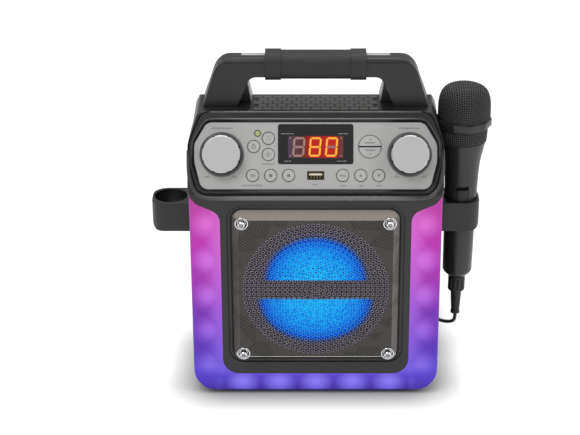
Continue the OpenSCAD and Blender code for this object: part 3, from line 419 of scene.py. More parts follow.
# Plain finishes: screen colour, roughness, and what else sets each apart
PLAIN = {
    "housing_black": (grey(31), 0.36, {"grain": 1600, "bump": 0.012, "edge": 1.2}),
    "handle_black": (grey(31), 0.4, {"grain": 1600, "bump": 0.012, "edge": 2.0}),
    "silver_paint": (linear(186, 186, 184), 0.42,
                     {"metallic": 0.3, "grain": 3200, "bump": 0.01, "vary": 0.05, "edge": 0.3}),
    "button_silver": (linear(186, 186, 184), 0.42,
                      {"metallic": 0.2, "grain": 3200, "bump": 0.008, "vary": 0.04, "edge": 0.25}),
    "rubber_black": (grey(38), 0.62, {"grain": 1300, "bump": 0.03, "edge": 0.8}),
    "cord_rubber": (grey(28), 0.45, {"grain": 1500, "bump": 0.02}),
    "mic_paint": (grey(42), 0.36, {"grain": 2200, "bump": 0.012, "edge": 0.5}),
    "dark_plastic": (grey(24), 0.45, {"grain": 1500, "bump": 0.02, "edge": 0.3}),
    "board_enamel": (linear(18, 70, 38), 0.3, {"grain": 600, "bump": 0.01}),
    "chrome": (linear(225, 225, 226), 0.12,
               {"metallic": 1.0, "bump": 0.004, "vary": 0.03, "rough_vary": 0.03, "edge": 0.3}),
    "bare_steel": (grey(170), 0.35, {"metallic": 1.0, "grain": 1200, "bump": 0.01}),
    "magnet_black": (linear(40, 40, 42), 0.6, {"grain": 700, "bump": 0.05}),
    # The usb socket's steel shell is coloured dark as painted shade inside the socket
    "socket_painted_shade": (linear(44, 40, 32), 0.4, {"metallic": 0.4, "grain": 1500, "bump": 0.01}),
    "window_gloss": (linear(18, 18, 19), 0.1, {"grain": 400, "bump": 0.002, "coat": 0.5, "edge": 0.3}),
    "battery_wrap": (linear(40, 80, 150), 0.3, {"grain": 500, "bump": 0.01}),
    "print_grey": (linear(112, 112, 111), 0.5, {"grain": 2000, "bump": 0.002}),
    "print_pale": (linear(150, 150, 148), 0.5, {"grain": 2000, "bump": 0.002}),
    "lamp_rim": (linear(62, 64, 46), 0.3, {"grain": 1500, "bump": 0.01}),
    "shell_bronze": (linear(88, 76, 52), 0.35, {"metallic": 0.5, "grain": 1500, "bump": 0.01}),
    "tongue_white": (linear(232, 224, 198), 0.4, {"grain": 1500, "bump": 0.01}),
    "contact_tan": (linear(158, 146, 112), 0.35, {"metallic": 0.4}),
}


def plain(name):
    colour, rough, rest = PLAIN[name]
    return finish(name, colour, rough, **rest)


def base_of(material):
    """A finished material's tree, its shader and the socket that gives its colour."""
    tree = material.node_tree
    shader = next(node for node in tree.nodes if node.type == "BSDF_PRINCIPLED")
    return tree, shader, shader.inputs["Base Color"].links[0].from_socket


@functools.cache
def knob_finish():
    """A knob: dull flange, dark glossy skirt and bright cap, told apart by how far they stand out."""
    material, tree, shader = plain_material("knob_finish")
    axes = place_axes(tree)
    out = minus(tree, times(tree, axes["Z"], LEAN_SIN), times(tree, axes["Y"], LEAN_COS))
    rise = minus(tree, out, (CONSOLE_Z * LEAN_SIN - FRONT_Y * LEAN_COS) * MM)
    cap = span(tree, rise, 12.0 * MM, 12.5 * MM)
    skirt = span(tree, rise, 0.9 * MM, 1.3 * MM)
    parts = grain_parts(tree, Scale=2500.0)
    bright = mix(tree, parts["Patches"], grey(198), grey(208))
    lower = mix(tree, skirt, grey(88), grey(16))
    fill(tree, shader, Base_Color=mix(tree, cap, lower, bright),
         Metallic=span(tree, cap, 0.0, 1.0, 0.0, 0.35), Roughness=span(tree, cap, 0.0, 1.0, 0.16, 0.34))
    relief(tree, shader, parts["Grain"], 0.004, edge=0.7)
    return material


@functools.cache
def mat_rubber():
    """The deck's mat: the tops of its tread are coloured lighter as a painted highlight, and the grooves
    between them darker as painted shade.
    """
    material = finish("mat_rubber", linear(52, 52, 51), 0.5, grain=1400, bump=0.03, edge=0.4)
    tree, shader, tone = base_of(material)
    # Painted highlight on the tread's tops and painted shade in its grooves, told apart by height
    top = span(tree, place_axes(tree)["Z"], TREAD_Z * MM, (TREAD_Z + 0.3) * MM)
    painted_tread_highlight = mix(tree, 0.7, tone, linear(96, 96, 94))
    fill(tree, shader, Base_Color=mix(tree, top, grey(38), painted_tread_highlight))
    return material


@functools.cache
def rear_handle():
    """The rear shell of the handle, whose legs lean; the face inside its arch is coloured pale as a painted
    reflection of the bright surroundings seen at a grazing angle.
    """
    material = finish("rear_handle", grey(36), 0.4, grain=1600, bump=0.012, edge=1.5)
    tree, shader, tone = base_of(material)
    axes = place_axes(tree)
    # Painted reflection: the face inside the arch, along the leaning legs, is coloured pale grey
    slope = plus(tree, times(tree, minus(tree, axes["Z"], 272 * MM), 0.18), 57.5 * MM)
    inside = span(tree, minus(tree, size_of(tree, axes["X"]), slope), 0.3 * MM, 0.9 * MM, 1.0, 0.0)
    fill(tree, shader, Base_Color=mix(tree, inside, tone, grey(176)))
    return material


@functools.cache
def ridge_painted_highlight():
    """Polished edge of the housing, coloured lighter than the housing as a painted highlight, and lightest
    in the middle of the front as a stronger painted highlight.
    """
    material = finish("ridge_painted_highlight", linear(62, 62, 61), 0.26, grain=1600, bump=0.008)
    tree, shader, tone = base_of(material)
    # Painted highlight: the middle of the front is coloured lightest
    middle = span(tree, size_of(tree, place_axes(tree)["X"]), 60 * MM, 100 * MM, 1.0, 0.0)
    fill(tree, shader, Base_Color=mix(tree, middle, tone, linear(112, 112, 109)))
    return material


@functools.cache
def light_plastic():
    """The milky frame, lit from behind: pink above, violet below, and a soft spot at each chip."""
    material, tree, shader = plain_material("light_plastic")
    axes = place_axes(tree)
    height = span(tree, axes["Z"], 0.0, CONSOLE_Z * MM, kind="LINEAR")
    between = ramp(tree, height, (0.0, 42, 22, 128), (0.06, 72, 50, 184), (0.12, 82, 58, 204),
                   (0.24, 84, 42, 184), (0.42, 118, 42, 178), (0.6, 164, 44, 178), (0.78, 188, 46, 172),
                   (1.0, 186, 60, 160))
    spot = ramp(tree, height, (0.0, 112, 96, 232), (0.07, 138, 122, 246), (0.17, 126, 98, 226),
                (0.34, 156, 98, 230), (0.52, 190, 104, 228), (0.7, 214, 108, 224), (1.0, 226, 108, 200))
    # Chips stand in two upright rows and in one level row below
    pitch, low_pitch = 36 * MM, 34 * MM
    across = size_of(tree, axes["X"])
    side = size_of(tree, minus(tree, across, 97 * MM))
    rise = math_node("PINGPONG", tree, minus(tree, axes["Z"], 176 * MM - 5 * pitch), pitch / 2)
    along = math_node("PINGPONG", tree, plus(tree, axes["X"], 10 * low_pitch), low_pitch / 2)
    low = size_of(tree, minus(tree, axes["Z"], 13 * MM))
    on_upright = span(tree, axes["Z"], 16 * MM, 32 * MM)
    on_level = times(tree, span(tree, axes["Z"], 22 * MM, 30 * MM, 1.0, 0.0),
                     span(tree, across, 84 * MM, 95 * MM, 1.0, 0.0))
    near_upright = times(tree, span(tree, distance(tree, side, rise), 0.0, 19 * MM, 0.95, 0.0), on_upright)
    near_level = times(tree, span(tree, distance(tree, along, low), 0.0, 19 * MM, 0.95, 0.0), on_level)
    band = times(tree, span(tree, across, 87 * MM, 104 * MM, 0.7, 0.0), on_upright)
    lit = larger(tree, larger(tree, near_upright, near_level), band)
    edge = span(tree, across, 111.5 * MM, 114 * MM, 1.0, 0.5)
    # It lights other pieces less than it shows
    path = add(tree, "LightPath").outputs
    seen = larger(tree, path["Is Camera Ray"], path["Is Glossy Ray"])
    patches = grain_parts(tree)["Patches"]
    fill(tree, shader, Emission_Color=mix(tree, edge, BLACK, mix(tree, lit, between, spot)),
         Emission_Strength=span(tree, seen, 0.0, 1.0, 0.25, 0.96, kind="LINEAR"),
         Base_Color=mix(tree, patches, (0.010, 0.006, 0.014, 1), (0.022, 0.014, 0.030, 1)),
         Roughness=span(tree, patches, 0.3, 0.7, 0.3, 0.42), Specular_IOR_Level=0.22)
    return material


def disc_glow(tree):
    """The point's axes, whether the blue light reaches it, the light's colour, and how far out it is."""
    axes = place_axes(tree)
    parts = []
    # The lit fields over and under the bar of lights, with half their width and their height
    for edge, sign, half, tall in ((SPEAKER_Z + 9.7, 1, 46, 43.4), (SPEAKER_Z - 9.7, -1, 52, 43.6)):
        up = times(tree, minus(tree, axes["Z"], edge * MM), sign)
        reach = distance(tree, ratio(tree, axes["X"], half * MM), ratio(tree, up, tall * MM))
        lit = times(tree, span(tree, up, -0.6 * MM, 0.6 * MM), span(tree, reach, 0.9, 1.08, 1.0, 0.0))
        parts.append((lit, reach))
    lit = larger(tree, parts[0][0], parts[1][0])
    reach = math_node("MINIMUM", tree, parts[0][1], parts[1][1])
    colour = ramp(tree, reach, (0.0, 14, 184, 250), (0.45, 6, 158, 244), (0.75, 2, 112, 226),
                  (0.92, 2, 70, 196), (1.0, 4, 34, 120))
    return axes, lit, colour, reach


@functools.cache
def stroke_group():
    """Bundles of fine parallel strokes, outside the ring of holes, that point at the speaker's middle."""
    tree, inside, outside = new_group("cover_strokes", [("Across", 0.0), ("Rise", 0.0)],
                                      ["Stroke", "Radius"])
    across, rise = inside["Across"], inside["Rise"]
    sector = math.tau / 24
    angle = math_node("ARCTAN2", tree, rise, across)
    number = math_node("FLOOR", tree, ratio(tree, angle, sector))
    chance, other = (add(tree, "TexWhiteNoise", noise_dimensions="1D", W=seed).outputs["Value"]
                     for seed in (number, plus(tree, number, 17.3)))
    middle = plus(tree, times(tree, plus(tree, number, 0.5), sector),
                  span(tree, chance, 0.0, 1.0, -0.16, 0.16, kind="LINEAR"))
    beside = minus(tree, times(tree, rise, math_node("COSINE", tree, middle)),
                   times(tree, across, math_node("SINE", tree, middle)))
    line = span(tree, math_node("SINE", tree, times(tree, beside, math.tau / (2.5 * MM))), 0.25, 0.8)
    radius = distance(tree, across, rise)
    start = span(tree, other, 0.0, 1.0, 64.6 * MM, 72 * MM, kind="LINEAR")
    step = times(tree, size_of(tree, beside), 0.7)
    from_here = span(tree, minus(tree, radius, plus(tree, start, step)), 0.0, 0.5 * MM)
    stop = plus(tree, start, span(tree, chance, 0.0, 1.0, 11 * MM, 27 * MM, kind="LINEAR"))
    to_here = span(tree, minus(tree, radius, stop), -0.5 * MM, 0.0, 1.0, 0.0)
    fill(tree, outside, Stroke=times(tree, times(tree, line, from_here), to_here), Radius=radius)
    return tree


@functools.cache
def smoked_cover():
    """Smoked plastic of the speaker cover: strokes, sloped bands coloured pale as a painted reflection, a
    painted highlight along the lower edge, and the blue light behind it.
    """
    material, tree, shader = plain_material("smoked_cover")
    axes, lit, colour, reach = disc_glow(tree)
    across, rise = axes["X"], minus(tree, axes["Z"], SPEAKER_Z * MM)
    # The sloped edges at the top and the sides, and the painted highlight along the lower edge
    top = span(tree, rise, 69.3 * MM, 69.8 * MM)
    side = span(tree, size_of(tree, across), 69.3 * MM, 69.8 * MM)
    painted_low_highlight = times(tree, span(tree, rise, -69.2 * MM, -68.9 * MM, 1.0, 0.0),
                     span(tree, rise, -71.4 * MM, -71.0 * MM))
    strokes = add(tree, "Group", node_tree=stroke_group(), Across=across, Rise=rise).outputs
    face = minus(tree, 1.0, larger(tree, top, side), clamp=True)
    stroke = times(tree, strokes["Stroke"], minus(tree, 1.0, top, clamp=True))
    # Brushed streaks: noise stretched up and down
    place = object_place(tree)
    stretched = add(tree, "Mapping", Scale=(1400.0, 1400.0, 60.0), Vector=place)
    streaks = add(tree, "TexNoise", Scale=1.0, Detail=3.0, Vector=stretched.outputs[0]).outputs["Fac"]
    smoke = mix(tree, streaks, linear(62, 59, 55), linear(76, 73, 69))
    smoke = mix(tree, stroke, smoke, linear(26, 25, 24))
    pierced = span(tree, strokes["Radius"], 65 * MM, 67.5 * MM, 1.0, 0.0)
    smoke = mix(tree, pierced, smoke, linear(36, 34, 40))
    # Painted reflection: the side bands are coloured pale, the right one more than the left, and the top
    # band palest
    right = span(tree, across, -1 * MM, 1 * MM)
    paler = mix(tree, right, linear(104, 100, 96), linear(132, 127, 124))
    smoke = mix(tree, side, smoke, mix(tree, stroke, paler, linear(70, 68, 66)))
    smoke = mix(tree, top, smoke, mix(tree, streaks, linear(136, 128, 122), linear(172, 164, 156)))
    # Painted highlight along the lower edge
    smoke = mix(tree, painted_low_highlight, smoke, linear(215, 208, 202))
    # The light passes between the holes unevenly, as through frosted plastic
    sparkle = add(tree, "TexNoise", Scale=330.0, Detail=2.0, Vector=place).outputs["Fac"]
    uneven = mix(tree, span(tree, sparkle, 0.35, 0.65), linear(0, 84, 206), linear(16, 200, 255))
    shine = mix(tree, span(tree, reach, 0.55, 0.95), mix(tree, 0.42, colour, uneven), colour)
    glow = mix(tree, times(tree, lit, face), linear(6, 6, 12), shine)
    fill(tree, shader, Base_Color=mix(tree, lit, smoke, linear(0, 8, 30)), Roughness=0.32,
         Emission_Color=mix(tree, pierced, BLACK, glow), Emission_Strength=0.94,
         Specular_IOR_Level=span(tree, lit, 0.0, 1.0, 0.3, 0.02))
    relief(tree, shader, minus(tree, 1.0, stroke), 0.15, strength=0.7, edge=0.8)
    return material


def rim_painted_highlight():
    """The raised rims of the holes, coloured pale as a painted highlight, which glow over the lit disc."""
    material, tree, shader = plain_material("rim_painted_highlight")
    _, lit, colour, _ = disc_glow(tree)
    patches = grain_parts(tree, Patch_Scale=60.0)["Patches"]
    # Painted highlight: outside the lit disc the rims are coloured pale grey
    pale = mix(tree, patches, linear(146, 137, 150), linear(182, 172, 185))
    bright = mix(tree, 0.35, colour, linear(120, 226, 255))
    fill(tree, shader, Base_Color=mix(tree, lit, pale, linear(10, 70, 140)), Roughness=0.2,
         Emission_Color=mix(tree, lit, linear(10, 9, 12), bright), Emission_Strength=0.8,
         Specular_IOR_Level=span(tree, lit, 0.0, 1.0, 0.5, 0.12))
    return material


def lit_cone():
    """Dark paper or rubber behind the cover, washed by the blue light."""
    material, tree, shader = plain_material("lit_cone")
    _, lit, colour, _ = disc_glow(tree)
    grain = grain_parts(tree)["Grain"]
    fill(tree, shader, Base_Color=mix(tree, grain, (0.01, 0.012, 0.02, 1), (0.03, 0.035, 0.05, 1)),
         Emission_Color=mix(tree, lit, linear(2, 10, 46), colour), Emission_Strength=0.5, Roughness=0.7)
    return material


def mic_mesh_metal():
    """Woven wire of the microphone's head: two families of wires that pass over and under each other."""
    material, tree, shader = plain_material("mic_mesh_metal")
    sheet = add(tree, "UVMap", uv_map="weave")
    parts = add(tree, "SeparateXYZ", Vector=sheet.outputs[0]).outputs
    warp, weft = (math_node("SINE", tree, times(tree, parts[axis], math.pi / WIRE_PITCH)) for axis in "XY")
    over = plus(tree, times(tree, times(tree, warp, weft), 0.4), 0.6)
    under = minus(tree, 1.2, over)
    wire = larger(tree, times(tree, squared(tree, size_of(tree, warp)), over),
                  times(tree, squared(tree, size_of(tree, weft)), under))
    metal = span(tree, wire, 0.22, 0.95)
    fill(tree, shader, Base_Color=mix(tree, metal, grey(7), grey(80)), Metallic=0.3,
         Roughness=span(tree, wire, 0.2, 0.95, 0.8, 0.36))
    relief(tree, shader, metal, 0.5, strength=0.7)
    return material


def glowing(name, colour, strength):
    """A lit surface whose light is a little uneven."""
    material, tree, shader = plain_material(name)
    patches = grain_parts(tree, Patch_Scale=160.0)["Patches"]
    dim = tuple(c * 0.8 for c in colour[:3]) + (1,)
    fill(tree, shader, Emission_Color=mix(tree, patches, dim, colour), Emission_Strength=strength,
         Base_Color=(0.02, 0.02, 0.02, 1), Roughness=0.25)
    return material


def lamp_glow():
    return glowing("lamp_glow", linear(190, 196, 136), 0.75)


# The construction's own pieces, by finish
DRESS = {
    "housing_black": "front_housing rear_housing console_bezel left_mic_holder right_mic_holder",
    "handle_black": "handle_front", "silver_paint": "console_panel", "magnet_black": "woofer_magnet",
    "rubber_black": "handle_grip feet mic_boot", "board_enamel": "light_strip control_board main_board",
    "window_gloss": "display_window display_module", "socket_painted_shade": "usb_socket", "chrome": "cover_screws",
    "dark_plastic": "button_switches light_bar woofer_basket microphone_jacks aux_jack power_inlet "
                    "mic_grille mic_switch mic_plug",
    "bare_steel": "mic_volume_pot master_volume_pot hdmi_socket case_screws mic_capsule",
    "battery_wrap": "battery_pack", "mic_paint": "mic_handle mic_ring",
    "button_silver": "power_button pairing_button lights_button voice_button record_button stop_button "
                     "play_button up_button down_button folder_up_button folder_down_button",
    rear_handle: "handle_rear", mat_rubber: "top_mat", light_plastic: "light_frame",
    smoked_cover: "speaker_cover", knob_finish: "mic_volume_knob master_volume_knob",
    lit_cone: "woofer_cone dust_cap woofer_surround", lamp_glow: "indicator_lamp",
}


def dress_nodes():
    for kind, names in DRESS.items():
        material = plain(kind) if kind in PLAIN else kind()
        for name in names.split():
            NODES[name].data.materials.clear()
            NODES[name].data.materials.append(material)


# New pieces


def make_hole_rims():
    """A raised rim round every hole of the speaker cover, made ring by ring."""
    rings = []
    for n in range(HOLE_RINGS + 1):
        ring = fresh("torus", rotation=(math.pi / 2, 0, 0), major_segments=12,
                     location=(n * RING_PITCH * MM, COVER_FACE_Y * MM, SPEAKER_Z * MM), minor_segments=4,
                     major_radius=(HOLE_R + 0.24) * MM, minor_radius=0.27 * MM)
        bpy.ops.object.transform_apply(location=True, rotation=True)
        if n:
            copies = 6 * n - 1
            with editing():
                bpy.ops.mesh.spin(steps=copies, dupli=True, angle=math.tau * copies / (6 * n),
                                  center=(0, COVER_FACE_Y * MM, SPEAKER_Z * MM), axis=(0, 1, 0))
        rings.append(ring)
    rims = joined(rings)
    bpy.ops.object.shade_smooth()
    seated(rims, "cover_hole_rims", rim_painted_highlight())


def display_red():
    """The lit field: grey violet at the left, red behind the lit digits and dull at the right."""
    material, tree, shader = plain_material("display_red")
    place = span(tree, place_axes(tree)["X"], -25 * MM, 25 * MM, kind="LINEAR")
    tone = ramp(tree, place, (0.0, 84, 62, 88), (0.17, 96, 62, 70), (0.26, 92, 44, 44), (0.34, 150, 24, 16),
                (0.46, 204, 26, 10), (0.6, 170, 22, 16), (0.68, 204, 28, 10), (0.82, 196, 30, 14),
                (0.91, 128, 44, 42), (1.0, 104, 58, 60))
    uneven = add(tree, "TexNoise", Scale=500.0, Detail=2.0, Vector=object_place(tree)).outputs["Fac"]
    dim = mix(tree, 0.35, tone, BLACK)
    fill(tree, shader, Emission_Color=mix(tree, uneven, dim, tone), Emission_Strength=1.0,
         Base_Color=(0.01, 0.01, 0.01, 1), Roughness=0.3, Specular_IOR_Level=0.2)
    return material


def make_display():
    """Dark red field with a dim first digit, two lit digits and four small dots."""
    top, middle = 0.32, 42.95
    seated(console_bar(0, middle, top, 49.2, 19.3), "display_field", display_red())
    half_w, half_h, width, lean = 4.45, 7.75, 1.9, math.radians(5)
    # Bars of a digit: across and up from its middle, and whether it stands upright
    bars = {"a": (0, 1, 0), "b": (1, 0.5, 1), "c": (1, -0.5, 1), "d": (0, -1, 0), "e": (-1, -0.5, 1),
            "f": (-1, 0.5, 1), "g": (0, 0, 0)}
    groups = {"lit_edges": [], "lit_cores": [], "dim_segments": [], "grey_segments": []}
    for x, on in ((-15.0, ""), (-0.5, "abcdefg"), (14.1, "abcdef")):
        for name, (side, up, upright) in bars.items():
            up *= half_h
            length = half_h - 0.5 if upright else 2 * half_w - 0.5
            turn = math.pi / 2 - lean if upright else 0
            centre = (x + side * half_w + up * math.tan(lean), middle + up)
            cut = 0.48 * width
            if name in on:
                edges = console_bar(*centre, top + 0.1, length + 0.5, width + 0.5, turn=turn, cut=cut)
                core = console_bar(*centre, top + 0.2, length - 0.3, 1.05, turn=turn, cut=0.45)
                groups["lit_edges"].append(edges)
                groups["lit_cores"].append(core)
            else:
                segment = console_bar(*centre, top + 0.1, length, width, turn=turn, cut=cut)
                groups["grey_segments" if on else "dim_segments"].append(segment)
    looks = {"lit_edges": (linear(246, 92, 14), 1.0), "lit_cores": (linear(255, 214, 62), 1.0),
             "dim_segments": (linear(172, 128, 122), 0.92), "grey_segments": (linear(160, 116, 128), 0.9)}
    for key, look in looks.items():
        seated(joined(groups[key]), "display_" + key, glowing("display_" + key, *look))
    dots = [console_disc(x, s, top + 0.1, 0.6, corners=12) for x in (-22.6, 22.6) for s in (35.1, 50.8)]
    seated(joined(dots), "display_dots", glowing("dot_light", linear(196, 160, 168), 0.8))


def make_lamp_ring():
    """The dark rim of the small round lamp."""
    lamp = NODES["indicator_lamp"].bound_box
    x, y, z = (sum(corner[i] for corner in lamp) / 8 / MM for i in range(3))
    up = (z - CONSOLE_Z) * LEAN_COS + (y - FRONT_Y) * LEAN_SIN
    ring = console_disc(x, up, 0.01, 3.1, hole=2.1, depth=0.25 * MM)
    seated(ring, "lamp_rim", plain("lamp_rim"))


def make_button_marks():
    """Generic symbols on the button caps."""
    top = BUTTON_TOP + 0.01
    rays = [k * math.pi / 4 for k in range(8)]
    marks = {
        "power_button": [console_disc(-55, 43.3, top, 1.9, hole=1.4),
                         console_bar(-55, 45.0, top + 0.01, 0.5, 2.0)],
        "pairing_button": [console_disc(-42 + dx, 50.6 + ds, top, 0.55, corners=12)
                           for dx, ds in ((-1.3, -0.8), (1.3, -0.8), (0, 1.3))],
        "lights_button": [console_disc(-42, 36.2, top, 1.0, hole=0.6)]
        + [console_bar(-42 + 2 * math.cos(a), 36.2 + 2 * math.sin(a), top, 0.9, 0.35, turn=a) for a in rays],
        "voice_button": [console_bar(-56 + 1.1 * k, ROW_S, top, 0.5, 3.4 - abs(k) * 0.9)
                         for k in range(-2, 3)],
        "record_button": [console_disc(-40, ROW_S, top, 1.5)],
        "stop_button": [console_bar(-24, ROW_S, top, 2.4, 2.4)],
        "play_button": [console_disc(22.6, ROW_S, top, 1.4, corners=3, turn=-math.pi / 2),
                        console_bar(25.0, ROW_S, top, 0.55, 2.2), console_bar(26.2, ROW_S, top, 0.55, 2.2)],
        "up_button": [console_disc(40, ROW_S - 0.2, top, 1.6, corners=3)],
        "down_button": [console_disc(56, ROW_S + 0.2, top, 1.6, corners=3, turn=math.pi)],
        "folder_up_button": [console_disc(48.2, 49.6, top, 0.9, corners=3),
                             console_bar(48.2, 46.6, top, 8.4, 0.8)],
        "folder_down_button": [console_disc(48.2, 36.8, top, 0.9, corners=3, turn=math.pi),
                               console_bar(48.2, 40.2, top, 8.4, 0.8)],
    }
    for button, parts in marks.items():
        seated(joined(parts), button + "_mark", plain("print_grey"), body=button)


def tick_row(x, s, width, n=0.01, tall=1.1, step=1.5):
    """A row of short plain ticks where there is a line of small print."""
    count = max(2, round(width / step))
    return [console_bar(x + (k - (count - 1) / 2) * step, s, n, step * 0.6, tall * (1.0 if k % 3 else 0.7))
            for k in range(count)]


def make_panel_marks():
    """Short printed ticks where the panel and the window have their legends."""
    ticks = []
    for x, s, width in ((-56.5, 8.8, 18), (-42.3, 27.8, 12), (-0.8, 9.6, 4.5), (24.1, 8.6, 6),
                        (40, 8.6, 4.5), (55.9, 8.6, 4.5), (-KNOB_X, 59.6, 19), (KNOB_X, 59.6, 19),
                        (-96.4, 16.4, 4.5), (-72.6, 16.4, 4.5), (71.8, 16.4, 4.5), (96, 16.4, 4.5)):
        ticks += tick_row(x, s, width)
    seated(joined(ticks), "panel_ticks", plain("print_grey"))
    pale = []
    for x, s, width in ((-25.3, 54.7, 12), (-25.0, 30.4, 6), (24.4, 54.7, 9), (23.2, 30.4, 9)):
        pale += tick_row(x, s, width, n=0.31, tall=0.9, step=1.3)
    seated(joined(pale), "window_ticks", plain("print_pale"))


def make_usb_tongue():
    """Pale tongue of the socket with four contacts, inside a brown shell."""
    shell = [console_bar(0, ROW_S + k * 2.95, 0.02, 13.6, 0.9, depth=0.2 * MM) for k in (-1, 1)]
    shell += [console_bar(k * 6.5, ROW_S, 0.02, 0.9, 6.0, depth=0.2 * MM) for k in (-1, 1)]
    seated(joined(shell), "usb_shell_rim", plain("shell_bronze"))
    tongue = console_bar(0, ROW_S + 1.0, -0.9, 11.7, 1.7, depth=0.3 * MM)
    seated(tongue, "usb_tongue", plain("tongue_white"))
    pins = [console_bar(x, ROW_S - 1.3, -0.9, 1.2, 1.0, depth=0.2 * MM) for x in (-3.9, -1.3, 1.3, 3.9)]
    seated(joined(pins), "usb_contacts", plain("contact_tan"))


# The microphone, first upright on its own axis; heights are the speaker's own, in millimetres

MIC_LEAN = math.radians(0.5)
RING_TOP_Z = 174
SLOT_SIZE, SLOT_Y, SLOT_Z = (12.4, 9.5, 28), -15.25, 175.6
SHELL_PROFILE = [(0, 92), (7.6, 92), (8.4, 92.4), (12.5, 96.6), (13.3, 97.8), (13.7, 99.6), (13.95, 120),
                 (14.3, 150), (14.7, 165), (14.9, 174), (15.2, 186), (15.8, 200), (16.6, 209), (17.7, 216),
                 (19.4, 223.4), (20.9, 230.9), (17.6, 230.9), (17, 224), (17, 220), (0, 220)]
BOOT_PROFILE = [(0, 51), (3.6, 51), (4.3, 51.5), (4.3, 53.3), (3.9, 54.4), (5.1, 74.8), (6.4, 76),
                (7.6, 76.8), (7.9, 78), (7.9, 91.9), (0, 91.9)]
BOOT_RIBS = 10
DOME_R, DOME_H, DOME_ROWS = 23.9, 30.4, 96
BAND_TOP_Z, BAND_H, BAND_R = 253.2, 7, 25.4
SKIRT_R, SKIRT_Z, SKIRT_ROWS = 21.4, 231.4, 36
HEAD_LOW = (20.4, 231)
HEAD_INNER = [(0, 282.4), (12, 281.4), (18, 277.6), (21.4, 269), (22.2, 258), (21.8, 246), (19.6, 231)]
WIRE_PITCH, WIRE_DEEP = 2.2, 0.5


def turned(name, profile, steps=48):
    """A closed turned shape round the z axis, from its profile of radii and heights."""
    shape = drawn_line(name, [(radius * MM, 0, height * MM) for radius, height in profile])
    with editing():
        bpy.ops.mesh.spin(steps=steps, angle=math.tau, center=(0, 0, 0), axis=(0, 0, 1))
        bpy.ops.mesh.select_all(action="SELECT")
        bpy.ops.mesh.remove_doubles(threshold=0.005 * MM)
        bpy.ops.mesh.normals_make_consistent(inside=False)
    return shape


def cut_away(shape, cutters):
    """Cuts the joined cutters out of a shape."""
    cutter = joined(cutters) if len(cutters) > 1 else cutters[0]
    select_only(shape)
    cut = shape.modifiers.new("cut", "BOOLEAN")
    cut.operation = "DIFFERENCE"
    cut.solver = "EXACT"
    cut.object = cutter
    bpy.ops.object.modifier_apply(modifier=cut.name)
    select_only(cutter)
    bpy.ops.object.delete()
    select_only(shape)
    bpy.ops.object.shade_smooth_by_angle(angle=math.radians(28))


def on_microphone(shape, name, material, *nodes):
    """Leans an upright shape as the microphone stands in its ring, and puts it in the place of nodes."""
    shape.rotation_euler = (0, MIC_LEAN, 0)
    shape.location = Vector((MIC_X - RING_TOP_Z * math.sin(MIC_LEAN), MIC_Y,
                             RING_TOP_Z * (1 - math.cos(MIC_LEAN)))) * MM
    seated(shape, name, material, body="microphone")
    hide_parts(*nodes)


def make_mic_shell():
    """The microphone's body, and its ribbed strain relief."""
    shell = turned("mic_shell", SHELL_PROFILE)
    slot = fresh("cube", size=1, location=(0, SLOT_Y * MM, SLOT_Z * MM))
    slot.scale = [side * MM for side in SLOT_SIZE]
    bpy.ops.object.transform_apply(location=True, scale=True)
    cut_away(shell, [slot])
    on_microphone(shell, "mic_shell", plain("mic_paint"), "mic_handle")
    boot = turned("mic_ribbed_boot", BOOT_PROFILE)
    grooves = []
    for k in range(BOOT_RIBS):
        turn = (k + 0.5) * math.tau / BOOT_RIBS
        place = (8.3 * math.cos(turn) * MM, 8.3 * math.sin(turn) * MM, 84 * MM)
        grooves.append(fresh("cylinder", vertices=12, radius=1.3 * MM, depth=11 * MM, location=place))
    cut_away(boot, grooves)
    on_microphone(boot, "mic_ribbed_boot", plain("rubber_black"), "mic_boot")


def woven_sheet(around, arc, radius):
    """Where a point of the dome lies on the flat sheet, from its angle and its way from the top."""
    return [radius * part + (arc - radius) * part * abs(part)
            for part in (math.cos(around), math.sin(around))]


